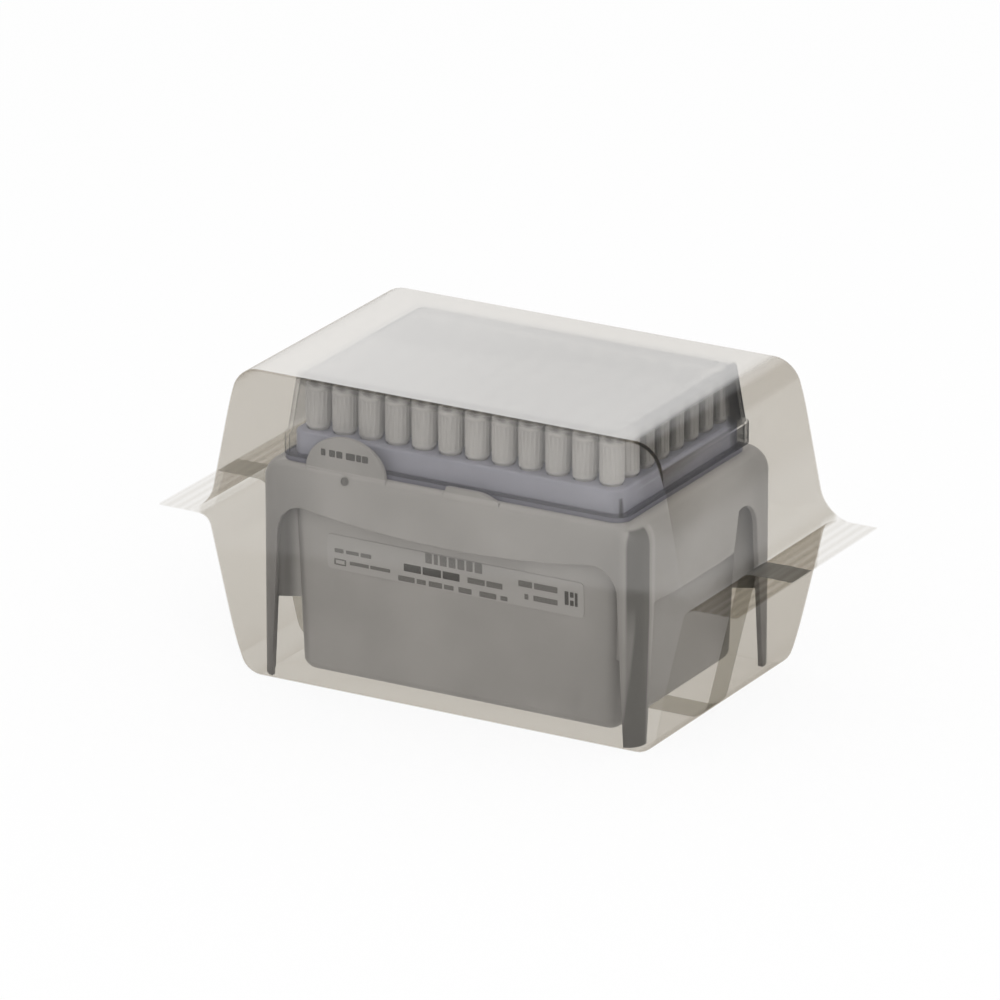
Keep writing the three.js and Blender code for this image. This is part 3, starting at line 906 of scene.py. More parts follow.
def make_film_web():
    """One web round the box, drawn in to a flat crimped fin at each end, still without a wall."""
    web = add_block("film_tube", (-film_top_half, -film_half_y, 0),
                    (film_top_half, film_half_y, film_top_z))
    open_mesh(web)
    for height in (seal_z - FIN_HALF, seal_z + FIN_HALF):
        pick_all()
        bpy.ops.mesh.bisect(plane_co=(0, 0, height), plane_no=(0, 0, 1))
    pick("VERT", lambda v: abs(v.co.z - seal_z) < 2 * FIN_HALF)
    grow(x=seal_half / film_top_half)
    pick("VERT", lambda v: near(v.co.z, 0))
    grow(x=film_foot_half / film_top_half)
    for side in (-1, 1):
        pick("FACE", lambda f: near(middle(f).x, side * seal_half))
        extrude(x=side * FIN_LENGTH)
    for side in (-1, 1):
        pick("FACE", lambda f: f.normal.y * side > 0.9)
        bpy.ops.mesh.dissolve_faces()
    bends = [
        (film_top_half, film_top_z, TOP_BEND, 8),
        (film_foot_half, 0, FOOT_SLACK, 6),
        (seal_half, seal_z + FIN_HALF, UPPER_SEAL_BEND, 8),
        (seal_half, seal_z - FIN_HALF, LOWER_SEAL_BEND, 4),
    ]
    for x, z, offset, segments in bends:
        pick("EDGE", lambda e: runs_along_y(e) and near(abs(middle(e).x), x) and near(middle(e).z, z))
        round_edges(offset, segments)
    for low_half, offset in ((False, RIM_BEND), (True, LOW_RIM_BEND)):
        pick("EDGE", lambda e: not runs_along_y(e) and near(abs(middle(e).y), film_half_y)
             and (middle(e).z < seal_z) == low_half
             and max(abs(v.co.x) for v in e.verts) < seal_half - RIM_STOP)
        round_edges(offset, 4)
    crimp_start = seal_half + UPPER_SEAL_BEND
    crimp_steps = int((film_high.x - crimp_start) / CRIMP_PITCH * 2)
    for side in (-1, 1):
        for step in range(1, crimp_steps + 1):
            pick("FACE", lambda f: middle(f).x * side > crimp_start and abs(f.normal.z) > 0.5)
            bpy.ops.mesh.bisect(
                plane_co=(side * (crimp_start + step * CRIMP_PITCH / 2), 0, 0), plane_no=(1, 0, 0))
        pick("VERT", lambda v: side * v.co.x > crimp_start + 0.1 * MM
             and round((side * v.co.x - crimp_start) / CRIMP_PITCH * 2) % 2 == 1)
        move(z=CRIMP_HEIGHT)
    pick("FACE", lambda f: abs(f.normal.x) > 0.9 and near(abs(middle(f).x), film_high.x))
    bpy.ops.mesh.delete(type="FACE")
    return close_mesh()


def make_film():
    """The web with its wall, and the lengthwise seal that lies inside its lower half."""
    tube = make_film_web()
    seal = copy_of(tube, "film_back_seal")
    open_mesh(seal)
    for y, keep_back in ((BACK_SEAL_FRONT, True), (BACK_SEAL_REAR, False)):
        pick_all()
        bpy.ops.mesh.bisect(plane_co=(0, y, 0), plane_no=(0, 1, 0),
                            clear_inner=keep_back, clear_outer=not keep_back)
    pick("FACE", lambda f: middle(f).z > seal_z + BACK_SEAL_TRIM and middle(f).x < film_high.x
         and f.normal.z > 0 or middle(f).z > seal_z + FIN_HALF * 2)
    bpy.ops.mesh.delete(type="FACE")
    pick_all()
    bpy.ops.transform.shrink_fatten(value=-BACK_SEAL_DEPTH)
    close_mesh()
    add_wall(seal, BACK_SEAL_WALL)
    add_wall(tube, FILM_WALL)
    smooth(tube, 30)
    smooth(seal, 30)
    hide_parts("film_wrap")
    return tube, seal


# ---- Materials ----

# The grain and the cloudiness of moulded plastic
CLOUD_SCALE = 28.0
CLOUD_DETAIL = 4.0
GRAIN_DETAIL = 3.0
GRAIN_RANGE = (0.3, 0.7)
GRAIN_STRENGTH = 0.02
GRAIN_DEPTH = 0.02 * MM
ROUGHNESS_SPREAD = 0.05
SHEET_ROUGHNESS = 0.3
SHEET_LETS_THROUGH = 0.98

# How a value changes along a field: from one place to another, and the value at each of them
Grade = namedtuple("Grade", "start end low high", defaults=(0.0, 1.0))
CLOUD_SHADE = Grade(0.35, 0.65, 0.0, 0.15)

# Base: what belongs to its outer shell, then where painted shade makes it darker, and below zero where
# painted light and highlights make it lighter
SHELL_X = Grade(57 * MM, 59 * MM)
SHELL_Y = Grade(39 * MM, 40.5 * MM)
BASE_SHADE = 0.15
LEFT_END = Grade(-58 * MM, -36 * MM, 0.34, 0.0)
FOOT = Grade(0.0, 50 * MM, 0.32, 0.0)
FRONT_RIGHT_X = Grade(15 * MM, 50 * MM)
FRONT_RIGHT_Y = Grade(-37 * MM, -34 * MM, 1.0, 0.0)
FRONT_RIGHT_END = Grade(59 * MM, 60 * MM, 1.0, 0.3)
FRONT_RIGHT_TUB = 0.06
FRONT_RIGHT_SHELL = 0.14
LEFT_SLOT_X = Grade(-57 * MM, -53.5 * MM, 0.6, 0.0)
LEFT_SLOT_Z = Grade(ledge_z - 9 * MM, ledge_z - 6 * MM, 1.0, 0.0)
REAR_X = Grade(50 * MM, 58 * MM)
REAR_Y = Grade(15 * MM, 38 * MM, 0.0, 0.26)
UNDER_LEDGE = Grade(42 * MM, 56 * MM, 0.0, -0.15)
SHOULDER_HIGHLIGHT = Grade(ledge_z - 1.8 * MM, ledge_z - 0.6 * MM, 0.0, -0.12)
ABOVE_LEDGE = Grade(ledge_z + 0.2 * MM, ledge_z + 0.6 * MM, 0.0, 0.24)

# A painted dark strip of shade at the front right corner, a painted highlight line on either side of it,
# and painted shade on the leg below
LEG_BEND_Z = 40 * MM
LEG_SLOPE = 0.06
STRIP_AND_LINES_TOP = Grade(ledge_z - 2 * MM, ledge_z - 1 * MM, 1.0, 0.0)
SHADE_STRIP_X = Grade(56 * MM, 57.5 * MM, 0.0, 0.82)
SHADE_STRIP_FRONT = Grade(-41 * MM, -39.8 * MM)
SHADE_STRIP_BACK = Grade(-35.4 * MM, -34.2 * MM, 1.0, 0.0)
LEG_FRONT_X = Grade(59.8 * MM, 60.8 * MM)
LEG_FRONT_Y = Grade(-41 * MM, -39.8 * MM, 0.26, 0.0)
LEG_FRONT_Z = Grade(30 * MM, 50 * MM, 1.0, 2.8)
LEFT_HIGHLIGHT_START = Grade(57.9 * MM, 58.5 * MM)
LEFT_HIGHLIGHT_END = Grade(59.3 * MM, 60 * MM, 1.0, 0.0)
LEFT_HIGHLIGHT_Y = Grade(-41 * MM, -40 * MM, -0.08, 0.0)
RIGHT_HIGHLIGHT_X = Grade(61 * MM, 62 * MM)
RIGHT_HIGHLIGHT_FRONT = Grade(-33.6 * MM, -32.8 * MM)
RIGHT_HIGHLIGHT_BACK = Grade(-31.8 * MM, -31 * MM, -0.2, 0.0)

# Tips and tray: how dark they are, with painted shade between the tips and on the tray's corners, a painted
# highlight under each head, and a painted shadow in the tray's joint under the lid
TIP_SHADE = 0.12
BETWEEN_TIPS = Grade(-0.3, 0.6, 0.22, 0.75)
RIGHT_COLUMN = Grade(45 * MM, 48 * MM)
BEHIND_FRONT_ROWS = Grade(-19 * MM, -17 * MM)
HIGHLIGHT_UNDER_HEAD = Grade(deck_z + 0.7 * MM, deck_z + 1.7 * MM, -0.3, 0.0)
TRAY_CORNER_SHADE = 0.3
TRAY_JOINT = Grade(lid_low.z - 0.1 * MM, lid_low.z + 0.3 * MM, 1.0, 0.0)

# Film: its painted reflection, above a line that rises to the right, and on its flat top
SHEEN_LINE_SLOPE = 0.086
SHEEN_LINE_Z = 45 * MM
SHEEN_LINE = Grade(-2 * MM, 2 * MM, 0.005, 0.05)
SHEEN_TO_RIGHT = Grade(0.0, 50 * MM, 1.0, 1.6)
BESIDE_TIPS_X = Grade(58 * MM, 62 * MM)
BESIDE_TIPS_Z = Grade(66 * MM, 74 * MM, 0.0, 0.72)
FLAT_TOP_UP = Grade(0.85, 0.99)
FLAT_TOP_Z = Grade(80 * MM, 90 * MM)
FLAT_TOP_SHEEN = Grade(-70 * MM, 70 * MM, 0.54, 0.43)
FLAT_TOP_END = Grade(61 * MM, 65 * MM, 1.0, 0.2)

# Film: how many times its tint it holds, at a glance, on its bends, in its fins and on its front rim
GLANCE = Grade(0.3, 0.95, 1.0, 1.6)
BEND_FACING = Grade(0.3, 0.9)
BEND_Z = Grade(60 * MM, 70 * MM, 0.0, 0.5)
FIN_X = Grade(seal_half + 2 * MM, seal_half + 4 * MM)
FIN_DEPTH = 0.6
CRIMP_DEPTH = 0.4
FIN_CORNER = Grade(CORNER_REACH - 2 * MM, CORNER_REACH + 1 * MM)
FIN_CORNER_DEPTH = Grade(0.0, 1.0, 0.92, 0.4)
TOP_RIM_X = Grade(-50 * MM, -46 * MM)
TOP_RIM_Z = Grade(92 * MM, 95 * MM)
TOP_RIM_DEPTH = 2.4
WEDGE_X = Grade(62 * MM, 68 * MM, 0.3, 12.0)
WEDGE_Z = Grade(46 * MM, 76 * MM, 0.35, 1.0)
WEDGE_FOOT = Grade(46 * MM, 50 * MM)
FRONT_HALF = Grade(-1 * MM, 1 * MM, 1.0, 0.0)

# The film's lengthwise seal: clear under the pack, pressed into the fins
SEAL_FIN_X = Grade(seal_half - 2 * MM, seal_half + 2 * MM)
SEAL_MILK = 0.01
SEAL_FIN_MILK = Grade(-80 * MM, 80 * MM, 0.03, 0.8)
SEAL_DEPTH = 1.3
SEAL_CRIMP_DEPTH = Grade(-90 * MM, 80 * MM, 0.1, 2.1)

# Lid: the painted reflection on its top, less in the rear panel, and the faint milkiness it has all over
RAISED = Grade(lid_top_z - 0.8 * PANEL_DEPTH, lid_top_z - 0.2 * PANEL_DEPTH)
TOP_TO_RIGHT = Grade(-50 * MM, 50 * MM, 1.0, 0.75)
TOP_UP = Grade(0.75, 0.99)
TOP_Z = Grade(90 * MM, 92 * MM)
TOP_SHEEN = 0.24
RAISED_SHEEN = 0.03
SIDE_MILK = 0.02

# Lid: how many times its tint it holds, as painted shade in its ends, corners, edges and foot, and in its
# rear panel
END_FACING = Grade(0.1, 0.5)
END_ABOVE_STEP = Grade(lid_step_z, lid_step_z + 3 * MM, 0.35, 1.0)
END_BELOW_TOP = Grade(90.5 * MM, 93 * MM, 1.0, 0.15)
RIGHT_HALF = Grade(0.0, 1 * MM)
LID_LEFT_SHADE = Grade(-20 * MM, 0.0, 10.0, 0.0)
LID_RIGHT_SHADE = Grade(0.0, skirt_half_x, 0.0, 7.0)
LID_RIGHT_SHADE_FRONT = Grade(-31 * MM, -25 * MM, 0.05, 1.0)
LID_RIGHT_SHADE_BACK = Grade(22 * MM, 34 * MM, 1.0, 2.4)
LID_REAR_SHADE_X = Grade(0.0, 20 * MM)
LID_REAR_SHADE_Y = Grade(26 * MM, 30 * MM, 0.0, 70.0)
EDGE_LOW = Grade(91.5 * MM, 92.5 * MM)
EDGE_HIGH = Grade(94.5 * MM, 95.5 * MM, 1.0, 0.2)
EDGE_DEPTH = 10.0
EDGE_BEADS = 4.0
LID_CORNER_DEPTH = Grade(0.9, 0.97, 0.0, 26.0)
LID_FOOT_DEPTH = Grade(lid_low.z + 0.8 * MM, lid_low.z + 1.4 * MM, 9.0, 0.0)
REAR_PANEL_DEPTH = 20.0


class Field:
    """A number that changes over a surface: a node's output. Sums and products add Math nodes."""

    def __init__(self, tree, socket):
        self.tree = tree
        self.socket = socket

    def __add__(self, other):
        return calc(self.tree, "ADD", self, other)

    def __sub__(self, other):
        return calc(self.tree, "SUBTRACT", self, other)

    def __rsub__(self, other):
        return calc(self.tree, "SUBTRACT", other, self)

    def __mul__(self, other):
        return calc(self.tree, "MULTIPLY", self, other)

    def __abs__(self):
        return calc(self.tree, "ABSOLUTE", self)

    __radd__ = __add__
    __rmul__ = __mul__


def put(tree, kind, inputs=None, **settings):
    """Adds a node, sets it, and fills its sockets with values, fields or links."""
    added = tree.nodes.new(kind)
    for name, value in settings.items():
        setattr(added, name, value)
    for socket, value in (inputs or {}).items():
        if isinstance(value, Field):
            value = value.socket
        if isinstance(value, bpy.types.NodeSocket):
            tree.links.new(value, added.inputs[socket])
        else:
            added.inputs[socket].default_value = value
    return added


def calc(tree, operation, *values, clamp=False):
    """A Math node."""
    node = put(tree, "ShaderNodeMath", dict(enumerate(values)), operation=operation, use_clamp=clamp)
    return Field(tree, node.outputs[0])


def larger(field, other):
    return calc(field.tree, "MAXIMUM", field, other)


def sine(field):
    return calc(field.tree, "SINE", field)


def grade(field, change):
    """The value that a grade gives along a field, as a smooth step."""
    node = put(field.tree, "ShaderNodeMapRange", {
        "Value": field, "From Min": change.start, "From Max": change.end,
        "To Min": change.low, "To Max": change.high,
    }, interpolation_type="SMOOTHSTEP")
    return Field(field.tree, node.outputs["Result"])


def blend(tree, factor, one, other):
    """A Mix node for colours."""
    mixed = put(tree, "ShaderNodeMix", {0: factor, 6: (*one, 1), 7: (*other, 1)}, data_type="RGBA")
    return mixed.outputs[2]


def along_axes(tree, source):
    """X, Y and Z of the object's coordinates or of its normal, as fields."""
    vector = put(tree, "ShaderNodeTexCoord").outputs[source]
    return [Field(tree, part) for part in put(tree, "ShaderNodeSeparateXYZ", {0: vector}).outputs]


def start_group(name, inputs):
    group = bpy.data.node_groups.new(name, "ShaderNodeTree")
    for socket, default in inputs.items():
        added = group.interface.new_socket(socket, in_out="INPUT", socket_type="NodeSocketFloat")
        added.default_value = default
    return group, group.nodes.new("NodeGroupInput").outputs


def end_group(group, outputs):
    """Gives a group its named outputs."""
    end = group.nodes.new("NodeGroupOutput")
    for name, field in outputs.items():
        group.interface.new_socket(name, in_out="OUTPUT", socket_type="NodeSocketFloat")
        group.links.new(field.socket, end.inputs[name])
    return group


def use_group(tree, group, inputs=None):
    """Places a group in a material, and gives its outputs by name."""
    node = put(tree, "ShaderNodeGroup", inputs, node_tree=group)
    return {output.name: Field(tree, output) for output in node.outputs}


def make_moulded_grain():
    """Fine sparked grain, and the slow cloudiness of filled plastic."""
    group, given = start_group("moulded_grain", {"Grain Size": 0.5})
    place = put(group, "ShaderNodeTexCoord").outputs["Object"]
    scale = calc(group, "DIVIDE", 1 / MM, given["Grain Size"])
    fine = put(group, "ShaderNodeTexNoise", {"Vector": place, "Scale": scale, "Detail": GRAIN_DETAIL})
    slow = put(group, "ShaderNodeTexNoise", {"Vector": place, "Scale": CLOUD_SCALE, "Detail": CLOUD_DETAIL})
    outputs = {"Height": fine, "Cloud": slow}
    return end_group(group, {name: Field(group, noise.outputs[0]) for name, noise in outputs.items()})


def make_edge_masks():
    """Masks from the way a surface faces: round upright corners, round edges, upward faces and ends."""
    group, _ = start_group("edge_masks", {})
    x, y, z = along_axes(group, "Normal")
    xx, yy, zz = x * x, y * y, z * z
    return end_group(group, {
        "Corner": 4 * xx * yy,
        "Top Edge": 4 * zz * (1 - zz),
        "Front Rim": 4 * yy * (1 - yy),
        "Up": z,
        "End": xx,
    })


grain_group = make_moulded_grain()
mask_group = make_edge_masks()


def start_material(name):
    material = bpy.data.materials.new(name)
    material.use_nodes = True
    tree = material.node_tree
    return material, tree, tree.nodes["Principled BSDF"], tree.nodes["Material Output"]


def let_light_in(tree, out, seen, lit):
    """Shows one shader to the eye, and another to the light that falls through it."""
    ray = put(tree, "ShaderNodeLightPath").outputs
    shadow = put(tree, "ShaderNodeMixShader", {0: ray["Is Shadow Ray"], 1: seen, 2: lit}).outputs[0]
    bounced = put(tree, "ShaderNodeMixShader", {0: ray["Is Diffuse Ray"], 1: shadow, 2: lit}).outputs[0]
    tree.links.new(bounced, out.inputs["Surface"])


def moulded_plastic(name, colour, dark_colour, roughness, grain_size, look=None, passes=0.0):
    """Moulded plastic. look() gives how dark a place is, as painted shade, and below zero painted light.
    Light can pass it, as it does in a thin tip.
    """
    material, tree, shader, out = start_material(name)
    grain = use_group(tree, grain_group, {"Grain Size": grain_size})
    shade = grade(grain["Cloud"], CLOUD_SHADE)
    if look:
        shade = calc(tree, "ADD", shade, look(tree), clamp=True)
    tree.links.new(blend(tree, shade, colour, dark_colour), shader.inputs["Base Color"])
    spread = Grade(*GRAIN_RANGE, roughness - ROUGHNESS_SPREAD, roughness + ROUGHNESS_SPREAD)
    tree.links.new(grade(grain["Height"], spread).socket, shader.inputs["Roughness"])
    bump = put(tree, "ShaderNodeBump", {
        "Height": grain["Height"], "Strength": GRAIN_STRENGTH, "Distance": GRAIN_DEPTH,
    })
    tree.links.new(bump.outputs[0], shader.inputs["Normal"])
    if passes:
        clear = put(tree, "ShaderNodeBsdfTransparent").outputs[0]
        lit = put(tree, "ShaderNodeMixShader", {0: passes, 1: shader.outputs[0], 2: clear}).outputs[0]
        let_light_in(tree, out, shader.outputs[0], lit)
    return material


def clear_sheet(name, tint, milk, look):
    """Clear plastic. look() gives how milky a place is, painted reflection included, and how many times its
    tint it holds, painted shade included.
    """
    material, tree, shader, out = start_material(name)
    milky, depth = look(tree)
    passed = put(tree, "ShaderNodeGamma", {"Color": (*tint, 1), "Gamma": depth}).outputs[0]
    see_through = put(tree, "ShaderNodeBsdfTransparent", {"Color": passed}).outputs[0]
    shader.inputs["Base Color"].default_value = (*milk, 1)
    shader.inputs["Roughness"].default_value = SHEET_ROUGHNESS
    front = calc(tree, "SUBTRACT", 1.0, put(tree, "ShaderNodeNewGeometry").outputs["Backfacing"])
    factor = calc(tree, "MULTIPLY", milky, front, clamp=True)
    seen = put(tree, "ShaderNodeMixShader", {0: factor, 1: see_through, 2: shader.outputs[0]}).outputs[0]
    through = (SHEET_LETS_THROUGH, SHEET_LETS_THROUGH, SHEET_LETS_THROUGH, 1)
    lit = put(tree, "ShaderNodeBsdfTransparent", {"Color": through}).outputs[0]
    let_light_in(tree, out, seen, lit)
    return material


def base_look(tree):
    """Painted shade: darker at its left end, its feet, its front right and its right rear.

    At the front right is a painted dark strip of shade between two painted highlight lines."""
    x, y, z = along_axes(tree, "Object")
    shell = larger(grade(abs(x), SHELL_X), grade(abs(y), SHELL_Y))
    inside = 1 - shell
    # Painted shade at the left end, towards the feet, at the front right, in the left slot and at the right
    # rear
    ends = shell * (grade(x, LEFT_END) + grade(z, FOOT))
    front_right = grade(x, FRONT_RIGHT_X) * grade(y, FRONT_RIGHT_Y) * grade(x, FRONT_RIGHT_END)
    front_right = front_right * (FRONT_RIGHT_SHELL * shell + FRONT_RIGHT_TUB)
    left_slot = inside * grade(x, LEFT_SLOT_X) * grade(z, LEFT_SLOT_Z)
    rear = grade(x, REAR_X) * grade(y, REAR_Y)
    leg_y = LEG_SLOPE * larger(LEG_BEND_Z - z, 0.0) + y
    top = grade(z, STRIP_AND_LINES_TOP)
    # A painted dark strip of shade down the front right corner, and painted shade on the front of its leg
    shade_strip = grade(x, SHADE_STRIP_X) * grade(leg_y, SHADE_STRIP_FRONT) * grade(leg_y, SHADE_STRIP_BACK) * top
    leg_front = grade(x, LEG_FRONT_X) * grade(leg_y, LEG_FRONT_Y) * grade(z, LEG_FRONT_Z)
    # Painted highlight lines on either side of the dark strip
    left_highlight = grade(x, LEFT_HIGHLIGHT_START) * grade(x, LEFT_HIGHLIGHT_END) * grade(y, LEFT_HIGHLIGHT_Y) * top
    right_highlight = grade(leg_y, RIGHT_HIGHLIGHT_FRONT) * grade(leg_y, RIGHT_HIGHLIGHT_BACK)
    right_highlight = right_highlight * grade(x, RIGHT_HIGHLIGHT_X) * top
    # Painted light inside under the ledge, a painted highlight along the shoulder, and darker above the
    # ledge
    ledge = inside * grade(z, UNDER_LEDGE) + shell * grade(z, SHOULDER_HIGHLIGHT) + grade(z, ABOVE_LEDGE)
    dark_places = ends + front_right + left_slot + rear + shade_strip + leg_front
    return BASE_SHADE + dark_places + left_highlight + right_highlight + ledge


def tip_look(tree):
    """Painted shade between the tips of the right column, with a painted highlight ring under every head.
    """
    x, y, z = along_axes(tree, "Object")
    between = calc(tree, "COSINE", y * (2 * math.pi / pitch))
    # Painted shade between the right column's tips
    gap = grade(between, BETWEEN_TIPS) * grade(x, RIGHT_COLUMN) * grade(y, BEHIND_FRONT_ROWS)
    return TIP_SHADE + gap + grade(z, HIGHLIGHT_UNDER_HEAD)


def tray_look(tree):
    """Painted shade on its round upright corners, and a painted shadow in the joint under the lid."""
    z = along_axes(tree, "Object")[2]
    return TRAY_CORNER_SHADE * use_group(tree, mask_group)["Corner"] + grade(z, TRAY_JOINT)


def crimp_lines(x):
    """0 to 1 across each crimp of a fin."""
    return 0.5 * sine(x * CRIMP_WAVE) + 0.5


def film_sheen(x, z, up):
    """The painted reflection on the film: in its upper part, apart from the tips' side, and on its flat
    top.
    """
    above_line = z - (SHEEN_LINE_SLOPE * x + SHEEN_LINE_Z)
    beside_tips = grade(x, BESIDE_TIPS_X) * grade(z, BESIDE_TIPS_Z)
    upper = grade(above_line, SHEEN_LINE) * grade(x, SHEEN_TO_RIGHT) * (1 - beside_tips)
    flat_top = grade(up, FLAT_TOP_UP) * grade(z, FLAT_TOP_Z)
    return upper + flat_top * grade(x, FLAT_TOP_SHEEN) * grade(x, FLAT_TOP_END)


def fin_depth(tree, x, y):
    """How deep the tint is in a crimped fin, with two corners that are drawn out thin and clear."""
    outward = y * calc(tree, "SIGN", x)
    corner = grade(CORNER_SLANT * abs(x) + outward, FIN_CORNER)
    return (CRIMP_DEPTH * crimp_lines(x) + FIN_DEPTH) * grade(corner, FIN_CORNER_DEPTH)


def film_look(tree):
    """A painted reflection on its upper part and flat top, and deeper at a glance, on its bends, in its
    fins and on its front rim.
    """
    x, y, z = along_axes(tree, "Object")
    masks = use_group(tree, mask_group)
    facing = Field(tree, put(tree, "ShaderNodeLayerWeight", {"Blend": 0.5}).outputs["Facing"])
    fin = grade(abs(x), FIN_X)
    body = 1 - fin
    glance = grade(facing, GLANCE) * body
    bend = grade(masks["Top Edge"], BEND_FACING) * grade(z, BEND_Z)
    top_rim = grade(x, TOP_RIM_X) * grade(z, TOP_RIM_Z) * (sine(x * BEAD_WAVE) + TOP_RIM_DEPTH)
    wedge = grade(x, WEDGE_X) * grade(z, WEDGE_Z) * grade(z, WEDGE_FOOT)
    front_rim = masks["Front Rim"] * (wedge + top_rim) * grade(y, FRONT_HALF)
    # Painted reflection on the upper part and the flat top
    milky = film_sheen(x, z, masks["Up"]) * body
    return milky, glance + bend + fin * fin_depth(tree, x, y) + front_rim


def seal_look(tree):
    """Clear under the pack, and nearly shut where it is pressed into the fins."""
    x = along_axes(tree, "Object")[0]
    fin = grade(abs(x), SEAL_FIN_X)
    milky = fin * grade(x, SEAL_FIN_MILK) + SEAL_MILK
    return milky, fin * (crimp_lines(x) * grade(x, SEAL_CRIMP_DEPTH)) + SEAL_DEPTH


def lid_end_shade(x, y, z, end):
    """Painted shade on the ends: less below the step and, on the left, less at the top."""
    left = grade(x, LID_LEFT_SHADE)
    right = grade(x, LID_RIGHT_SHADE) * grade(y, LID_RIGHT_SHADE_FRONT) * grade(y, LID_RIGHT_SHADE_BACK)
    rear = grade(x, LID_REAR_SHADE_X) * grade(y, LID_REAR_SHADE_Y)
    high_enough = grade(z, END_ABOVE_STEP) * larger(grade(z, END_BELOW_TOP), grade(x, RIGHT_HALF))
    return grade(end, END_FACING) * high_enough * (left + right + rear)


def lid_look(tree):
    """A painted reflection on its top, less so in its rear panel; painted dark lines of shade at its edges,
    and painted shade on its ends.
    """
    x, y, z = along_axes(tree, "Object")
    masks = use_group(tree, mask_group)
    # Painted reflection on the top
    top = grade(masks["Up"], TOP_UP) * grade(z, TOP_Z)
    raised = grade(z, RAISED)
    milky = top * ((RAISED_SHEEN * raised + TOP_SHEEN) * grade(x, TOP_TO_RIGHT)) + SIDE_MILK
    # Painted shade: a dark dotted line along the top edge, dark round corners, and a painted shadow at the
    # foot
    edge = grade(z, EDGE_LOW) * grade(z, EDGE_HIGH) * (EDGE_BEADS * sine((x + y) * BEAD_WAVE) + EDGE_DEPTH)
    corner = grade(masks["Corner"], LID_CORNER_DEPTH)
    foot = grade(z, LID_FOOT_DEPTH)
    rear_panel = REAR_PANEL_DEPTH * top * (1 - raised)
    return milky, 1.0 + lid_end_shade(x, y, z, masks["End"]) + edge + corner + foot + rear_panel


def dress(piece, material):
    piece.data.materials.clear()
    piece.data.materials.append(material)


base_grey = moulded_plastic(
    "base_grey_plastic", colour=(0.41, 0.399, 0.389), dark_colour=(0.12, 0.117, 0.113),
    roughness=0.42, grain_size=0.5, look=base_look)
label_grey = moulded_plastic(
    "label_grey_paper", colour=(0.38, 0.372, 0.364), dark_colour=(0.33, 0.32, 0.315),
    roughness=0.5, grain_size=0.8)
print_ink = moulded_plastic(
    "grey_ink", colour=(0.16, 0.155, 0.15), dark_colour=(0.12, 0.115, 0.11),
    roughness=0.5, grain_size=0.6)
bold_ink = moulded_plastic(
    "dark_ink", colour=(0.08, 0.078, 0.075), dark_colour=(0.06, 0.058, 0.055),
    roughness=0.5, grain_size=0.6)
tray_blue = moulded_plastic(
    "tray_blue_plastic", colour=(0.32, 0.325, 0.385), dark_colour=(0.13, 0.13, 0.165),
    roughness=0.4, grain_size=0.4, look=tray_look)
tip_grey = moulded_plastic(
    "tip_grey_plastic", colour=(0.54, 0.53, 0.52), dark_colour=(0.1, 0.098, 0.095),
    roughness=0.35, grain_size=0.3, look=tip_look, passes=0.6)
lid_clear = clear_sheet(
    "lid_clear_plastic", tint=(0.975, 0.975, 0.975), milk=(0.92, 0.92, 0.92), look=lid_look)
smoky_film = clear_sheet(
    "smoky_film", tint=(0.874, 0.862, 0.841), milk=(0.95, 0.94, 0.93), look=film_look)
seal_film = clear_sheet(
    "seal_film", tint=(0.835, 0.829, 0.81), milk=(0.13, 0.127, 0.118), look=seal_look)

base = make_base()
label_plate, label_print, bold_print = make_label()
tab_print = make_tab_print()
gate_mark = make_gate_mark()
tray = make_tray()
tips = make_tips()
lid = make_lid()
film, back_seal = make_film()
dress(base, base_grey)
dress(gate_mark, print_ink)
dress(label_plate, label_grey)
dress(label_print, print_ink)
dress(bold_print, bold_ink)
dress(tab_print, bold_ink)
dress(tray, tray_blue)
for tip in tips:
    dress(tip, tip_grey)
dress(lid, lid_clear)
dress(film, smoky_film)
dress(back_seal, seal_film)
for piece in [base, label_plate, label_print, bold_print, tab_print, gate_mark, tray, *tips,
              lid, film, back_seal]:
    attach(piece, "root")

# ---- Studio ----

VIEW_AZIMUTH = 29.6
VIEW_ELEVATION = 20.0
VIEW_DISTANCE = 2.964
LENS = 360.0
SENSOR = 36.0
FAR_CLIP = 20.0
AIM = Vector((-4.4, -2.5, 53.5)) * MM
FLOOR_SIZE = 8
FLOOR_WHITE = 0.93
FLOOR_ROUGHNESS = 0.9
FLOOR_GLOW = 0.85
WORLD_LEVEL = 0.9
LAMP_PLACE = (1.5, -1.6, 1.9)
LAMP_AIM = (0, 0, 0.05)
LAMP_SIZE = 1.6
LAMP_POWER = 20


def add_camera():
    """A long lens, far away, aimed at the middle of the pack."""
    across, up = math.radians(VIEW_AZIMUTH), math.radians(VIEW_ELEVATION)
    back = Vector((math.sin(across) * math.cos(up), -math.cos(across) * math.cos(up), math.sin(up)))
    bpy.ops.object.camera_add(location=AIM + back * VIEW_DISTANCE)
    camera = bpy.context.object
    camera.rotation_euler = back.to_track_quat("Z", "Y").to_euler()
    camera.data.lens = LENS
    camera.data.sensor_width = SENSOR
    camera.data.clip_end = FAR_CLIP
    bpy.context.scene.camera = camera


add_camera()


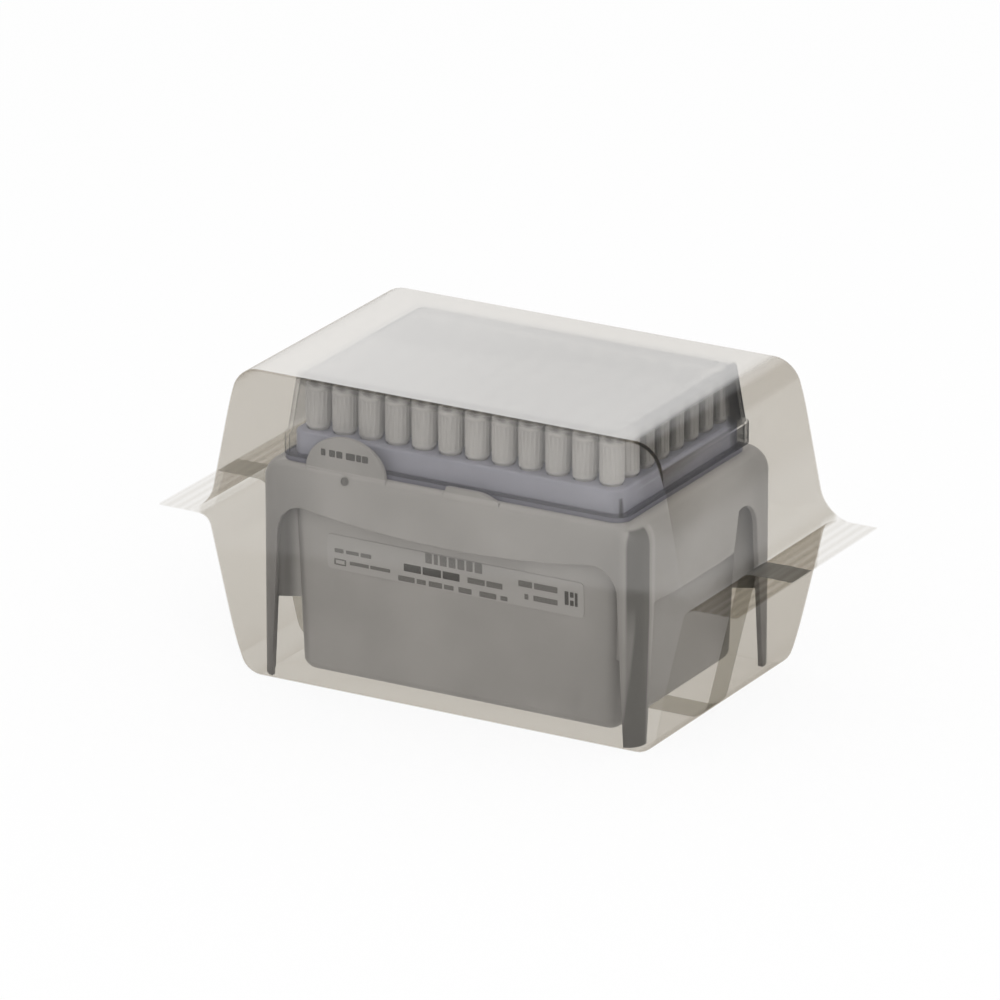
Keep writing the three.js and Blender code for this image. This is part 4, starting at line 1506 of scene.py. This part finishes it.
def seen_rays(tree):
    """1 for rays that show the background: to the camera, in gloss and through glass."""
    ray = put(tree, "ShaderNodeLightPath").outputs
    seen = calc(tree, "MAXIMUM", ray["Is Camera Ray"], ray["Is Glossy Ray"])
    return calc(tree, "MAXIMUM", seen, ray["Is Transmission Ray"])


def add_floor():
    """A pale floor that looks white and still takes the pack's shadow."""
    deselect()
    bpy.ops.mesh.primitive_plane_add(size=FLOOR_SIZE)
    floor = place_new("floor")
    material, tree, shader, out = start_material("floor_white")
    shader.inputs["Base Color"].default_value = (FLOOR_WHITE, FLOOR_WHITE, FLOOR_WHITE, 1)
    shader.inputs["Roughness"].default_value = FLOOR_ROUGHNESS
    glow = put(tree, "ShaderNodeEmission", {"Color": (1, 1, 1, 1), "Strength": 1.0}).outputs[0]
    factor = seen_rays(tree) * FLOOR_GLOW
    mixed = put(tree, "ShaderNodeMixShader", {0: factor, 1: shader.outputs[0], 2: glow}).outputs[0]
    tree.links.new(mixed, out.inputs["Surface"])
    floor.data.materials.append(material)


def add_world():
    """White where it is seen, and a little less bright where it lights the pack."""
    world = bpy.data.worlds.new("studio")
    bpy.context.scene.world = world
    world.use_nodes = True
    tree = world.node_tree
    strength = put(tree, "ShaderNodeMapRange", {
        "Value": seen_rays(tree), "To Min": WORLD_LEVEL, "To Max": 1.0,
    }).outputs[0]
    tree.links.new(strength, tree.nodes["Background"].inputs["Strength"])
    tree.nodes["Background"].inputs["Color"].default_value = (1, 1, 1, 1)


def add_lamp():
    """One wide soft lamp, above and in front of the pack."""
    bpy.ops.object.light_add(type="AREA", location=LAMP_PLACE)
    lamp = bpy.context.object
    lamp.name = "key"
    lamp.data.size = LAMP_SIZE
    lamp.data.energy = LAMP_POWER
    lamp.rotation_euler = (Vector(LAMP_PLACE) - Vector(LAMP_AIM)).to_track_quat("Z", "Y").to_euler()


add_floor()
add_world()
add_lamp()
bpy.context.scene.view_settings.view_transform = "Standard"
bpy.context.scene.cycles.transparent_max_bounces = 32
